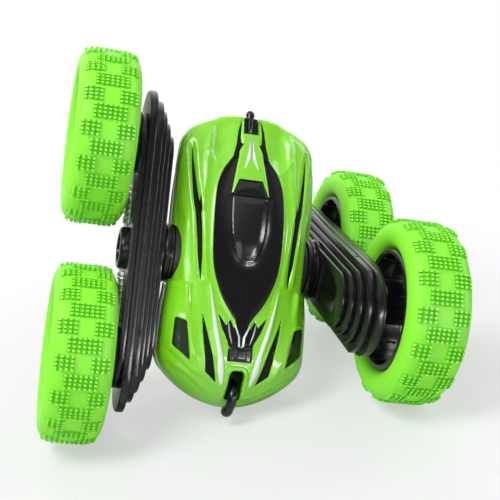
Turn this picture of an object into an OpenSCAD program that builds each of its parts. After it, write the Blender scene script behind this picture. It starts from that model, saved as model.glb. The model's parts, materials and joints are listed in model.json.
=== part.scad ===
// Double-sided stunt car with two swing arms, standing on three wheels.
// Working frame: X along the arm pivot axis, Y from nose to tail, Z up
// through the upper shell, origin at the middle of the pivot axis.
// "Right" is +X and "left" is -X, as seen by someone facing the nose.
// stance() then stands the car on its wheels, Z up from the floor.

/* [Stance] */
// Angle between the two swing arms, degrees
swing_angle = 69.05; // [60:0.05:80]

/* [Wheels] */
// Outer radius of a tyre
tyre_r = 40; // [38:0.5:41]
// Width of a tyre
tyre_w = 26; // [24:0.5:26]
// Distance from the car's middle to the middle of a wheel
track_half = 68.5; // [68.5:0.1:70]
// Radius of the wheel opening in the tyre
rim_r = 26.2; // [25.5:0.1:27]
// Number of spokes in a rim
spokes = 5; // [4:1:7]

/* [Arm gear train] */
// Module of the arm gears
arm_module = 1; // [0.97:0.01:1]
// Teeth of the sun gear on the drive shaft
sun_teeth = 18; // [18:2:18]
// Teeth of an idler gear
idler_teeth = 24; // [24:2:24]
// Teeth of the gear on a wheel axle
axle_teeth = 32; // [32:2:32]
// Thickness of the arm gears
arm_gear_t = 5; // [4:0.1:5]

/* [Body gear train] */
// Module of the motor pinion and the wheel it drives
pinion_module = 0.6; // [0.58:0.01:0.6]
// Teeth of a motor pinion
pinion_teeth = 9; // [9:1:9]
// Teeth of the large wheel of a reduction gear
reduction_teeth = 30; // [30:1:30]
// Module of the small wheel of a reduction gear
clutch_module = 0.8; // [0.78:0.01:0.8]
// Teeth of the small wheel of a reduction gear
reduction_small = 12; // [12:1:12]
// Teeth of a clutch gear
clutch_teeth = 26; // [26:1:26]

/* [Arms] */
// Half height of an arm's flange
arm_h = 19.2; // [18.8:0.1:20]
// Half length of an arm's flange
flange_l = 73.6; // [72:0.1:76]
// Inner face of an arm, from the car's middle
arm_x0 = 36; // [35.8:0.1:36.2]

/* [Body] */
// Wall thickness of the shells
wall = 1.8; // [1.5:0.1:2]
// Depth of the cockpit recess
recess = 2; // [1.5:0.1:2.2]
// Height of the lower shell as a share of the upper shell's
lower_share = 0.84; // [0.84:0.01:0.88]
// Fullness of the body's cross-section towards its sides
side_power = 3.4; // [3:0.1:4]
// Fullness of the body's cross-section towards its crown
crown_power = 2.6; // [2.4:0.1:3]

/* [Fits] */
// Radial clearance of a running fit
run = 0.05; // [0.03:0.01:0.08]
// Backlash taken from each tooth at the pitch circle
backlash = 0.16; // [0.12:0.01:0.2]

/* [Hidden] */
node = "all";
NODES = ["upper_shell", "lower_shell", "upper_canopy", "chassis_frame",
    "front_peg", "rear_peg", "left_headlight_lens", "right_headlight_lens",
    "headlight_leds", "circuit_board", "battery_pack", "left_motor",
    "right_motor", "pivot_bushes", "power_switch", "shell_screws", "wiring",
    "battery_cover", "battery_cover_screw", "switch_slider",
    "left_motor_pinion", "right_motor_pinion", "left_reduction_gear",
    "right_reduction_gear", "left_clutch_gear", "right_clutch_gear",
    "left_arm_inner_cover", "right_arm_inner_cover", "left_arm_outer_cover",
    "right_arm_outer_cover", "left_arm_hub_cap", "right_arm_hub_cap",
    "left_arm_screws", "right_arm_screws", "left_shock_trim",
    "right_shock_trim", "left_drive_shaft", "right_drive_shaft",
    "left_sun_gear", "right_sun_gear", "left_front_idler_gear",
    "right_front_idler_gear", "left_rear_idler_gear",
    "right_rear_idler_gear", "left_front_tyre", "right_front_tyre",
    "left_rear_tyre", "right_rear_tyre", "left_front_rim",
    "right_front_rim", "left_rear_rim", "right_rear_rim",
    "left_front_axle_gear", "right_front_axle_gear",
    "left_rear_axle_gear", "right_rear_axle_gear",
    "left_front_wheel_screw", "right_front_wheel_screw",
    "left_rear_wheel_screw", "right_rear_wheel_screw"];

$fn = 72;
small_fn = 24;
tiny = 0.01;

// gear centres along Y
idler_y = arm_module * (sun_teeth + idler_teeth) / 2;
half_base = idler_y + arm_module * (idler_teeth + axle_teeth) / 2;
reduction_y = clutch_module * (clutch_teeth + reduction_small) / 2;
motor_y = reduction_y + pinion_module * (reduction_teeth + pinion_teeth) / 2;

// outer half of the tread: [radius, offset from the wheel's middle plane]
half_tyre = tyre_w / 2;
tread = [[tyre_r, half_tyre - 3.2], [tyre_r - 0.8, half_tyre - 2.4],
    [tyre_r - 2.5, half_tyre - 1.2], [tyre_r - 5.5, half_tyre]];

// stance: both right wheels and the left front wheel on the floor, tail raised
lift = half_base * sin(swing_angle);
tilt = atan(lift / (2 * track_half));
floor_z = track_half * sin(tilt)
    + max([for (p = tread) p[1] * sin(tilt) + p[0] * cos(tilt)]);
shift_x = lift * sin(tilt) / 2;

// shafts and bearings
shaft_r = 2;
axle_r = 3;
post_r = 2;
reduction_pin_r = 1.5;
collar_r = 13.5;
bush_r = 11;
spigot_r = 9;
pivot_opening_r = 14.3;

// small screws: shank, head, pilot hole in a post, through hole and counterbore
screw_r = 1;
screw_head_r = 2.2;
pilot_r = 1.1;
through_r = 1.25;
counterbore_r = 2.5;
shell_screw_at = [[27.5, -20], [21, 44]];

// ---------- frames and basic shapes ----------
// "side" is 1 for right and -1 for left; "end" is 1 for rear and -1 for front
module stance() translate([shift_x, 0, floor_z])
    rotate([swing_angle, tilt, 0]) children();

// parts that belong to one side of the body
module body_side(side) {
    if (side > 0) children();
    else mirror([1, 0, 0]) children();
}
module both_sides() for (side = [-1, 1]) body_side(side) children();

// parts that belong to one swing arm
module arm_side(side) {
    if (side > 0) rotate([-swing_angle, 0, 0]) children();
    else mirror([1, 0, 0]) children();
}

// 2D x, y drawn in the Y, Z plane and extruded along X
module along_x(x0, x1) translate([x0, 0, 0]) rotate([90, 0, 90])
    linear_extrude(x1 - x0) children();

module rod_x(r, x0, x1, y = 0, z = 0) translate([x0, y, z])
    rotate([0, 90, 0]) cylinder(r = r, h = x1 - x0);

module block(x0, x1, y0, y1, z0, z1) translate([x0, y0, z0])
    cube([x1 - x0, y1 - y0, z1 - z0]);

module rod(start, stop, r) {
    span = stop - start;
    length = norm(span);
    translate(start) rotate([0, acos(span[2] / length), atan2(span[1], span[0])])
        cylinder(r = r, h = length, $fn = small_fn);
}

// a wire or bent rod through a list of points, with balls at the bends
module path(points, r) {
    for (i = [0:len(points) - 2]) rod(points[i], points[i + 1], r);
    for (i = [1:len(points) - 2])
        translate(points[i]) sphere(r = r * 1.07, $fn = small_fn);
}

module at_shell_screws() for (side = [-1, 1], at = shell_screw_at)
    translate([side * at[0], at[1], 0]) children();

// cross recess of a screw head, about Z
module cross_slot(z0, z1, half_l = 1.5, half_w = 0.3) for (a = [0, 90])
    rotate(a) block(-half_l, half_l, -half_w, half_w, z0, z1);

// through hole with a counterbore that starts at sink_z
module sunk_hole(depth, sink_z, sink_h) {
    cylinder(r = through_r, h = depth, $fn = small_fn);
    translate([0, 0, sink_z]) cylinder(r = counterbore_r, h = sink_h, $fn = small_fn);
}

// ---------- body surface ----------
// [Y, half width of the body]
width_table = [[-67.3, 4], [-66.3, 9], [-64.5, 14], [-62, 19], [-58.5, 24.2],
    [-54.5, 28.8], [-50, 32.4], [-44, 34], [-37, 34], [-25, 33.7],
    [-13, 32.7], [0, 32.8], [20, 33], [39, 33], [52, 32.2], [58, 29],
    [61.5, 24.4], [64.5, 18], [66.9, 12]];
// [Y, height of the upper crown]
height_table = [[-67.3, 8], [-66.3, 11], [-64.5, 14.2], [-62, 17.4],
    [-58.5, 20.6], [-54.5, 23.2], [-50, 24.9], [-44, 25.8], [-37, 25.6],
    [-25, 24.8], [-13, 23.6], [0, 22.4], [10, 21.3], [20, 19.5], [30, 16.8],
    [40, 13.6], [50, 10.2], [58, 7.4], [63, 5.6], [66.9, 4.4]];
// [Y, half width of the cockpit recess]
recess_table = [[-38.6, 1], [-31.5, 2.4], [-26, 5.6], [-19.5, 9.8], [-12, 13.2],
    [-6, 15], [2, 16], [14.7, 16.2], [29, 15.6], [36.8, 13.6],
    [43.6, 10], [46.3, 8.6]];
// front and rear ends of the recess, on the outer and the inner skin
recess_y = [-38.5, 46.1];
inner_recess_y = [-40.1, 47.7];

// Y of the cross-sections
middle_stations = [-34, -29, -24, -19, -pivot_opening_r, -13.4, -11.4, -8, -4,
    0, 4, 8, 11.4, 13.4, pivot_opening_r, 19, 25, 31, 37, 42];
outer_stations = concat(
    [-67.3, -66.3, -64.5, -62, -58.5, -54.5, -50, -44, -38.6, -38.35],
    middle_stations, [46, 46.25, 51, 55, 58.5, 61.5, 64.5, 66.9]);
inner_stations = concat(
    [-65.5, -64.8, -63.4, -61, -57.8, -54, -49.8, -44.5, -40.2, -39.95],
    middle_stations, [47.6, 47.85, 51.5, 55, 58, 60.8, 63.4, 65.1]);
side_steps = 7;
across_steps = 6;

// skin slope is allowed for by taking the smallest size within this distance
slope_reach = 1.5;

function outer_w(y) = lookup(y, width_table);
function outer_h(y) = lookup(y, height_table);
// share of the height at y: the lower shell also gets shallower towards the nose
function share_at(y, share) = share >= 1 ? 1
    : share * (1 - 0.7 * max(0, min(1, (-48 - y) / 17)));
function inner_w(y) =
    min(outer_w(y - slope_reach), outer_w(y + slope_reach)) - wall;
function inner_h(y, share) = share_at(y - 1, share)
    * min(outer_h(y - slope_reach), outer_h(y + slope_reach)) - wall;

// height at x of a cross-section with half width w and crown height h
function crown(x, w, h) =
    h * pow(max(0, 1 - pow(min(1, abs(x) / w), side_power)), 1 / crown_power);
function side_point(w, h, angle) =
    [w * pow(cos(angle), 2 / side_power), h * pow(sin(angle), 2 / crown_power)];
function skin_z(x, y, share = 1) = crown(x, outer_w(y), share_at(y, share) * outer_h(y));
// bottom edge of a shell's side, arched over the pivot
function edge_z(y) = abs(y) < pivot_opening_r
    ? max(0.05, sqrt(pivot_opening_r * pivot_opening_r - y * y)) : 0.05;

// one cross-section: side, step down into the recess, across, step up, side
function section(y, w, h, recess_w, depth) = let(
    low = asin(pow(min(0.98, edge_z(y) / h), crown_power / 2)),
    high = acos(pow(recess_w / w, side_power / 2)),
    flank = [for (k = [0:side_steps])
        side_point(w, h, low + (high - low) * k / side_steps)],
    across = [for (k = [0:across_steps])
        let(x = (recess_w - 0.25) * (1 - 2 * k / across_steps))
        [x, crown(x, w, h) - depth]])
    concat([for (p = flank) [p[0], y, p[1]]],
        [for (p = across) [p[0], y, p[1]]],
        [for (k = [side_steps:-1:0]) [-flank[k][0], y, flank[k][1]]]);

function quad(a, b, c, d) = [[a, b, c], [a, c, d]];

// faces of two facing skins, each a grid of rows with "per" points to a row
function skin_faces(rows, per) = let(second = rows * per)
    [for (i = [0:rows - 2], j = [0:per - 2]) let(a = i * per + j, b = a + per)
        each concat(quad(a, a + 1, b + 1, b),
            quad(second + a, second + b, second + b + 1, second + a + 1))];

// half of the body's skin with its wall, open at the parting plane
module shell(depth, share = 1) {
    rows = len(outer_stations);
    edge = 2 * side_steps + across_steps + 2;  // last point of a section
    per = edge + 1;
    inner = rows * per;  // first point of the inner skin
    tail = (rows - 1) * per;  // first point of the rearmost section
    outer_points = [for (y = outer_stations) each section(y, outer_w(y),
        share_at(y, share) * outer_h(y), lookup(y, recess_table),
        y > recess_y[0] && y < recess_y[1] ? depth : 0)];
    inner_points = [for (y = inner_stations) each section(y, inner_w(y),
        inner_h(y, share), lookup(y, recess_table) + (depth > 0 ? wall - 0.1 : 0),
        y > inner_recess_y[0] && y < inner_recess_y[1] ? depth : 0)];
    end_fans = [for (j = [1:edge - 1]) each [
        [0, j + 1, j],
        [inner, inner + j, inner + j + 1],
        [tail, tail + j, tail + j + 1],
        [inner + tail, inner + tail + j + 1, inner + tail + j]]];
    side_rims = [for (i = [0:rows - 2])
        let(a = i * per, b = a + per, c = a + edge, d = b + edge)
        each concat(quad(a, b, inner + b, inner + a),
            quad(inner + c, inner + d, d, c))];
    end_rims = concat(quad(0, inner, inner + edge, edge),
        quad(inner + tail, tail, tail + edge, inner + tail + edge));
    polyhedron(points = concat(outer_points, inner_points),
        faces = concat(skin_faces(rows, per), end_fans, side_rims, end_rims),
        convexity = 6);
}

// closed solid between two grids of points: top[row][column], bottom[row][column]
module slab(top, bottom) {
    rows = len(top);
    per = len(top[0]);
    low = rows * per;  // first point of the bottom grid
    row_ends = [for (i = [0:rows - 2])
        let(a = i * per, b = a + per, c = b - 1, d = c + per)
        each concat(quad(low + a, a, b, low + b), quad(low + d, d, c, low + c))];
    column_ends = [for (j = [0:per - 2]) let(a = (rows - 1) * per + j)
        each concat(quad(low + j + 1, j + 1, j, low + j),
            quad(low + a, a, a + 1, low + a + 1))];
    polyhedron(
        points = concat([for (row = top) each row], [for (row = bottom) each row]),
        faces = concat(skin_faces(rows, per), row_ends, column_ends),
        convexity = 4);
}

// grid of [x, y], steps by steps, and the same grid lifted onto the skin
function flat_grid(x0, x1, y0, y1, steps) = [for (i = [0:steps]) [for (j = [0:steps])
    [x1 + (x0 - x1) * j / steps, y0 + (y1 - y0) * i / steps]]];
function on_skin(grid, offset, share = 1) = [for (row = grid) [for (p = row)
    [p[0], p[1], skin_z(p[0], p[1], share) + offset]]];

// square screw post from z0 up into the skin
module screw_post(x, y, z0, share = 1) {
    grid = flat_grid(x - 3, x + 3, y - 3, y + 3, 2);
    slab(on_skin(grid, -1, share),
        [for (row = grid) [for (p = row) [p[0], p[1], z0]]]);
}
module screw_posts(z0, share = 1) for (side = [-1, 1], at = shell_screw_at)
    screw_post(side * at[0], at[1], z0, share);

// ---------- gears ----------
// tooth forms: [pressure angle, addendum, dedendum], the last two in modules
arm_tooth = [20, 1, 1.2];
body_tooth = [25, 0.75, 1];
flank_steps = 4;

function involute(angle) = tan(angle) * 180 / PI - angle;

// involute gear outline
module gear_outline(teeth, size, tooth) {
    pitch_r = teeth * size / 2;
    base_r = pitch_r * cos(tooth[0]);
    tip_r = pitch_r + tooth[1] * size;
    root_r = pitch_r - tooth[2] * size;
    start_r = max(base_r, root_r);
    half_tooth = 90 / teeth - backlash / 2 / pitch_r * 180 / PI;
    // one flank: [radius, angle from the tooth's middle]
    curve = [for (k = [0:flank_steps])
        let(r = start_r + (tip_r - start_r) * k / flank_steps)
        [r, half_tooth + involute(tooth[0]) - involute(acos(min(1, base_r / r)))]];
    flank = concat(root_r < start_r - tiny ? [[root_r, curve[0][1]]] : [], curve);
    polygon([for (i = [0:teeth - 1]) let(middle = 360 * i / teeth) each concat(
        [for (p = flank) [p[0] * cos(middle - p[1]), p[0] * sin(middle - p[1])]],
        [for (k = [len(flank) - 1:-1:0]) let(p = flank[k])
            [p[0] * cos(middle + p[1]), p[0] * sin(middle + p[1])]])]);
}

module gear(teeth, size, x0, x1, y, phase, bore, tooth)
    translate([0, y, 0]) difference() {
        along_x(x0, x1) rotate(phase) gear_outline(teeth, size, tooth);
        rod_x(bore, x0 - 1, x1 + 1);
    }

// phase of a gear that lies in a direction from the gear that drives it
function mesh_phase(driver_phase, driver, driven, direction) =
    direction + 180 + 180 / driven - (driver_phase - direction) * driver / driven;
function idler_phase(end) =
    mesh_phase(0, sun_teeth, idler_teeth, end > 0 ? 0 : 180);
function axle_phase(end) =
    mesh_phase(idler_phase(end), idler_teeth, axle_teeth, end > 0 ? 0 : 180);
small_phase = mesh_phase(0, clutch_teeth, reduction_small, 0);
pinion_phase = mesh_phase(0, reduction_teeth, pinion_teeth, 0);

// ---------- shells ----------
// battery cover outline, its gap in the lower shell and the Y of its screw
cover_x = 20;
cover_y = [-47, 2];
cover_gap = 0.3;
cover_screw_y = -1.5;
peg_x = 3.2;

module rear_notch() block(-3.8, 3.8, 58.6, 70, -20, 20);

module upper_shell() stance() color("limegreen") difference() {
    union() {
        shell(recess);
        screw_posts(0.1);
    }
    at_shell_screws() translate([0, 0, -1])
        cylinder(r = pilot_r, h = 7.2, $fn = small_fn);
    // slot for the front peg
    block(-peg_x, peg_x, -62, -51, -1, 40);
    rear_notch();
    for (side = [-1, 1]) lens_hole(side);
}

module lower_shell() stance() color("limegreen") mirror([0, 0, 1]) difference() {
    union() {
        shell(0, lower_share);
        screw_posts(3.1, lower_share);
    }
    at_shell_screws() translate([0, 0, -1]) sunk_hole(12, 5.9, 40);
    block(-cover_x - cover_gap, cover_x + cover_gap,
        cover_y[0] - cover_gap, cover_y[1] + cover_gap, 8, 40);
    // slot for the switch slider
    block(6.2, 9.8, 7.6, 14.6, 10, 40);
    rear_notch();
}

// canopy: fills the recess, with a low dome over the middle
dome_y = [-6, 36];
dome_half_w = 8.6;
dome_h = 1.6;
canopy_grid = [for (y = concat([-38.1], middle_stations, [45.8]))
    [for (k = [0:across_steps])
        [(lookup(y, recess_table) - 0.4) * (1 - 2 * k / across_steps), y]]];
function canopy_dome(x, y) = y > dome_y[0] && y < dome_y[1]
    ? dome_h * max(0, 1 - pow(x / dome_half_w, 2))
        * sin((y - dome_y[0]) / (dome_y[1] - dome_y[0]) * 180)
    : 0;

module upper_canopy() stance() color("#1c1c20") slab(
    [for (row = canopy_grid) [for (p = row)
        [p[0], p[1], skin_z(p[0], p[1]) + canopy_dome(p[0], p[1])]]],
    on_skin(canopy_grid, 0.15 - recess));

// headlight window corners: inner rear, outer rear, outer front, inner front
lens_corners = [[21, -30], [29, -29.5], [29.3, -41.5], [19, -48.5]];
lens_middle = (lens_corners[0] + lens_corners[1] + lens_corners[2]
    + lens_corners[3]) / 4;
lens_fit = 0.97;  // lens size as a share of its window
fitted = [for (p = lens_corners) lens_middle + (p - lens_middle) * lens_fit];
lens_grid = [for (i = [0:4]) [for (j = [0:4]) let(back = i / 4, inward = j / 4)
    (fitted[2] * (1 - inward) + fitted[3] * inward) * (1 - back)
    + (fitted[1] * (1 - inward) + fitted[0] * inward) * back]];

module lens_hole(side) body_side(side) translate([0, 0, 6])
    linear_extrude(30) polygon(lens_corners);

module headlight_lens(side) stance() body_side(side) color("#d8e8d8")
    slab(on_skin(lens_grid, -0.2), on_skin(lens_grid, -1.8));
module left_headlight_lens() headlight_lens(-1);
module right_headlight_lens() headlight_lens(1);

// post through the upper shell with a bar bent forward over the nose
module front_peg() stance() color("#161616") {
    foot = [0, -56.5, 0.1];
    bend = [0, -56.5, 15.5];
    tip = [-1.6, -69, 14];
    ball_r = 2.5;
    translate(foot) cylinder(r = 2.4, h = 15.4, $fn = small_fn);
    translate(bend) sphere(r = ball_r, $fn = small_fn);
    path([bend, [0, -61.4, 19.9], [-0.8, -66.5, 18], tip], 2.1);
    translate(tip) sphere(r = ball_r, $fn = small_fn);
}

// block in the tail notch, with a rod forward to the chassis and a stub behind
module rear_peg() stance() color("#161616") {
    tip = [0, 70, 0];
    block(-3.4, 3.4, 59, 67.3, -3.2, 3.2);
    rod([0, 46.1, 0], [0, 60, 0], 1.5);
    rod([0, 66, 0], tip, 2);
    translate(tip) sphere(r = 2.5, $fn = small_fn);
}

// ---------- inside the body ----------
plate_z0 = -2.6;
plate_z1 = -0.8;
cheek_x0 = 27.4;
cheek_x1 = 29.2;
cheek_y = [-16.6, 32.5];
motor_r = 7.7;
motor_h = 12;  // across its flats
board_z0 = 3;
board_z1 = 4.6;
board_hole_x = 17;
board_hole_y = [-45, -11];
led_at = [23.6, -38];

module motor_pocket() block(-25, 25, motor_y - motor_r - 0.1,
    motor_y + motor_r + 0.1, -motor_h / 2 - 0.05, 20);

// mid plate with the gear slots cut out
module mid_plate() difference() {
    union() {
        block(-26.5, 26.5, -52, 46, plate_z0, plate_z1);
        // cross strips out to the cheeks
        block(-cheek_x1, cheek_x1, cheek_y[0], -12.5, plate_z0, plate_z1);
        block(-cheek_x1, cheek_x1, 28.5, cheek_y[1], plate_z0, plate_z1);
        at_shell_screws() translate([0, 0, plate_z0])
            cylinder(r = 3.3, h = 1.8);
        // tongue under the front peg
        block(-3, 3, -59.6, -51, plate_z0, plate_z1);
    }
    both_sides() block(20.6, 27.4, -12.5, 28.5, -3, 0);
    at_shell_screws() translate([0, 0, -4]) cylinder(r = 1.3, h = 8, $fn = small_fn);
    // opening for the battery leads
    block(4.6, 9.4, -5.6, -1.6, -4, 1);
}

// cradle that holds both motors back to back
module motor_cradle() difference() {
    block(-19.8, 19.8, motor_y - 9.7, motor_y + 9.7, -8.2, 4);
    motor_pocket();
}

module chassis_frame() stance() color("#3a3a3e") {
    difference() {
        union() {
            difference() {
                mid_plate();
                motor_pocket();
            }
            motor_cradle();
            // post for the battery cover's screw
            translate([0, cover_screw_y, -16.9]) cylinder(r = 2.6, h = 15);
            both_sides() {
                // cheek with the bush housing, and the drive shaft's inner support
                block(cheek_x0, cheek_x1, cheek_y[0], cheek_y[1], -6, 6);
                rod_x(13.2, cheek_x0, 30.8);
                block(17.8, 20.5, -5, 5, -5, 5);
            }
        }
        both_sides() {
            rod_x(bush_r + run, 27, 31.5);
            rod_x(shaft_r + run, 17, 21);
        }
        translate([0, cover_screw_y, -18])
            cylinder(r = pilot_r, h = 12, $fn = small_fn);
    }
    // arm that holds the power switch
    block(5.5, 10.5, 7, 15, -10.9, -2);
    both_sides() {
        rod_x(reduction_pin_r, 20.9, 28, reduction_y);
        // posts under the circuit board
        for (y = board_hole_y)
            translate([board_hole_x, y, -1]) cylinder(r = 2, h = 3.95);
    }
}

module pivot_bushes() stance() color("#c9a34e") both_sides() difference() {
    rod_x(bush_r, 27.5, 31);
    rod_x(spigot_r + run, 27, 32);
}

module motor(side) stance() body_side(side) color("silver")
    translate([0, motor_y, 0]) difference() {
        union() {
            along_x(0.6, 19.6) intersection() {
                circle(r = motor_r);
                square([2 * motor_r, motor_h], center = true);
            }
            rod_x(2.4, 19.6, 20.4);
        }
        rod_x(1 + run, 10, 21);
    }
module left_motor() motor(-1);
module right_motor() motor(1);

// pinion and the motor's shaft
module motor_pinion(side) stance() body_side(side) color("gold") {
    gear(pinion_teeth, pinion_module, 20.8, 22.8, motor_y, pinion_phase, 0.5, body_tooth);
    rod_x(1, 10.5, 24, motor_y);
}
module left_motor_pinion() motor_pinion(-1);
module right_motor_pinion() motor_pinion(1);

module reduction_gear(side) stance() body_side(side) color("whitesmoke") {
    bore = reduction_pin_r + run;
    gear(reduction_teeth, pinion_module, 21, 22.6, reduction_y, 0, bore, body_tooth);
    gear(reduction_small, clutch_module, 22.6, 26.2, reduction_y, small_phase, bore,
        body_tooth);
}
module left_reduction_gear() reduction_gear(-1);
module right_reduction_gear() reduction_gear(1);

module clutch_gear(side) stance() body_side(side) color("#e0e0d0") difference() {
    gear(clutch_teeth, clutch_module, 23, 26, 0, 0, shaft_r + run, body_tooth);
    // ring-shaped recess in the outer face
    difference() {
        rod_x(8, 25, 27);
        rod_x(4.5, 24, 28);
    }
}
module left_clutch_gear() clutch_gear(-1);
module right_clutch_gear() clutch_gear(1);

// three cells side by side, joined by a block
module battery_pack() stance() color("#3f7fbf") {
    pitch = 14.6;
    for (x = [-pitch, 0, pitch]) translate([x, -47.5, -9.75]) rotate([-90, 0, 0])
        cylinder(r = 7, h = 40.9);
    block(-pitch, pitch, -47, -7.2, -13, -6.5);
}

module circuit_board() stance() color("darkgreen") {
    parts_z = board_z1 - 0.1;
    difference() {
        block(-20, 20, -48, -8, board_z0, board_z1);
        for (side = [-1, 1], y = board_hole_y) translate([side * board_hole_x, y, 2])
            cylinder(r = 1.1, h = 4, $fn = small_fn);
    }
    // components on the top face
    block(-5, 5, -33, -23, parts_z, 6.2);
    block(9, 15, -40, -32, parts_z, 7);
    for (x = [-12, -6]) translate([x, -41, parts_z]) cylinder(r = 2, h = 5);
    block(-14, -9.6, -28, -17, parts_z, 7.6);
}

module headlight_leds() stance() color("ivory") for (side = [-1, 1])
    translate([side * led_at[0], led_at[1], 8]) {
        bulb_r = 2.5;
        cylinder(r = 2.9, h = 1);
        cylinder(r = bulb_r, h = 5);
        translate([0, 0, 5]) sphere(r = bulb_r);
    }

module power_switch() stance() color("#202020") difference() {
    block(4.2, 11.8, 6.6, 15.4, -14.4, -11);
    block(6.4, 9.6, 8.2, 14.2, -16, -12.1);
}

module switch_slider() stance() color("#101010") {
    block(6.5, 9.5, 8.4, 11.4, -14.3, -12.2);
    block(7, 9, 8.8, 11, -18.6, -14.2);
}

module shell_screws() stance() color("#8d8d92") at_shell_screws()
    translate([0, 0, -5]) difference() {
        union() {
            cylinder(r = screw_r, h = 10.6, $fn = small_fn);
            translate([0, 0, -1.8]) cylinder(r = screw_head_r, h = 1.85);
        }
        cross_slot(-2.6, -1);
    }

module wiring() stance() {
    wire_r = 0.6;
    solder_z = board_z1 + 0.05;
    motor_z = motor_h / 2 + 0.05;
    // battery leads: [colour, X]
    for (lead = [["red", 5.9], ["black", 8.1]]) let(x = lead[1])
        color(lead[0]) path([[x, -6.3, -8], [x, -3.6, -8], [x, -3.6, 7],
            [x, -12, 7], [x, -12, solder_z]], wire_r);
    // motor leads: [colour, distance from the middle, Y on the board]
    for (lead = [["red", 12, -12], ["black", 15, -15]])
        color(lead[0]) for (side = [-1, 1]) let(x = side * lead[1])
            path([[x, lead[2], solder_z], [x, lead[2], 7.6],
                [x, motor_y, 7.6], [x, motor_y, motor_z]], wire_r);
    // headlight leads
    color("white") for (side = [-1, 1]) let(x = side * 18, led_x = side * led_at[0])
        path([[x, led_at[1], solder_z], [x, led_at[1], 6.4],
            [led_x, led_at[1], 6.4], [led_x, led_at[1], 7.95]], wire_r);
}

module battery_cover() stance() color("limegreen") mirror([0, 0, 1]) difference() {
    grid = flat_grid(-cover_x, cover_x, cover_y[0], cover_y[1], 8);
    slab(on_skin(grid, 0, lower_share), on_skin(grid, -1.6, lower_share));
    translate([0, cover_screw_y, 0]) sunk_hole(40, 17.9, 10);
}

module battery_cover_screw() stance() color("#8d8d92")
    translate([0, cover_screw_y, 0]) difference() {
        union() {
            translate([0, 0, -18]) cylinder(r = screw_r, h = 9, $fn = small_fn);
            translate([0, 0, -18.95]) cylinder(r = screw_head_r, h = 0.97);
        }
        cross_slot(-19.2, -18.5);
    }

// ---------- swing arms ----------
inner_cover_t = 9.6;
gear_x = arm_x0 + 7.4;
split_x = arm_x0 + inner_cover_t;  // where the inner and outer covers meet
arm_wall = 1.6;
boss_r = 2.6;
arm_pilot_r = 1.05;
arm_screw_y = 35;
arm_screw_z = 14.9;
// stepped inner cover: [inner X, outer X, both from the arm's inner face,
// half length, half height, start of the round end]
cover_steps = [[0, 2.2, 53.7, 12.6, 36], [2.2, 4.4, 59.4, 14.3, 39.5],
    [4.4, 6.6, 64.6, 16.5, 43], [6.6, inner_cover_t, 69, 18.9, half_base]];

// a band with half-elliptical ends that start at end_y
module arm_outline(half_l, half_h, end_y = half_base) {
    square([2 * end_y, 2 * half_h], center = true);
    for (end = [-1, 1]) translate([end * end_y, 0])
        scale([(half_l - end_y) / half_h, 1]) circle(r = half_h, $fn = 72);
}

module at_arm_screws() for (y = [-1, 1], z = [-1, 1])
    translate([0, y * arm_screw_y, z * arm_screw_z]) children();

module arm_inner_cover(side) stance() arm_side(side) color("#1b1b1d") {
    difference() {
        union() {
            // each step but the last overlaps the next a little
            for (step = cover_steps)
                along_x(arm_x0 + step[0],
                    arm_x0 + step[1] + (step[1] < inner_cover_t ? tiny : 0))
                    arm_outline(step[2], step[3], step[4]);
            // collar, pivot spigot and its lip inside the bush
            rod_x(collar_r, 31.2, arm_x0 + 1);
            rod_x(spigot_r, 26.4, 32);
            rod_x(10, 26.35, 27.35);
        }
        // gear space
        along_x(gear_x - 0.4, split_x + 1) arm_outline(66.8, arm_h - arm_wall);
        // hollows between the idler posts and the axle bearings
        for (end = [-1, 1]) along_x(arm_x0 + 2.4, gear_x + 1)
            translate([end * 33, 0]) square([14, 22], center = true);
        rod_x(shaft_r + run, 26, 60);
        for (end = [-1, 1]) rod_x(axle_r + run, arm_x0 + 2.5, 60, end * half_base);
    }
    for (end = [-1, 1]) rod_x(post_r, gear_x - 0.5, gear_x + 4.8, end * idler_y);
    at_arm_screws() difference() {
        rod_x(boss_r, gear_x - 0.5, split_x);
        rod_x(arm_pilot_r, gear_x, split_x + 1);
    }
}
module left_arm_inner_cover() arm_inner_cover(-1);
module right_arm_inner_cover() arm_inner_cover(1);

module arm_outer_cover(side) stance() arm_side(side) color("#1b1b1d") difference() {
    union() {
        difference() {
            union() {
                along_x(split_x + 0.05, split_x + 3.4) arm_outline(flange_l, arm_h);
                along_x(split_x + 3.3, split_x + 6) arm_outline(63, arm_h - 0.8, 42);
            }
            along_x(split_x - 1, split_x + 3.4) arm_outline(67, arm_h - arm_wall);
        }
        for (end = [-1, 1])
            rod_x(collar_r, split_x + 5, split_x + 8.8, end * half_base);
        at_arm_screws() rod_x(boss_r, split_x + 0.05, split_x + 4);
    }
    for (end = [-1, 1])
        rod_x(axle_r + run, split_x - 1, split_x + 10, end * half_base);
    // through holes and counterbores of the arm screws
    at_arm_screws() {
        rod_x(1.2, split_x - 1, split_x + 8);
        rod_x(2.4, split_x + 4.2, split_x + 8);
    }
    rod_x(shaft_r + run, split_x - 1, split_x + 4.4);
    // seat of the hub cap
    rod_x(9.8, split_x + 4.9, split_x + 8);
}
module left_arm_outer_cover() arm_outer_cover(-1);
module right_arm_outer_cover() arm_outer_cover(1);

// chamfered disc with a round recess in its outer face
module arm_hub_cap(side) stance() arm_side(side) color("#26262a") difference() {
    cap_r = 9.7;
    rotate([0, 90, 0]) rotate_extrude() polygon([[0, split_x + 5], [cap_r, split_x + 5],
        [cap_r, split_x + 8.4], [8.5, split_x + 9.5], [0, split_x + 9.5]]);
    rod_x(5.5, split_x + 8.4, split_x + 10);
}
module left_arm_hub_cap() arm_hub_cap(-1);
module right_arm_hub_cap() arm_hub_cap(1);

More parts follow.
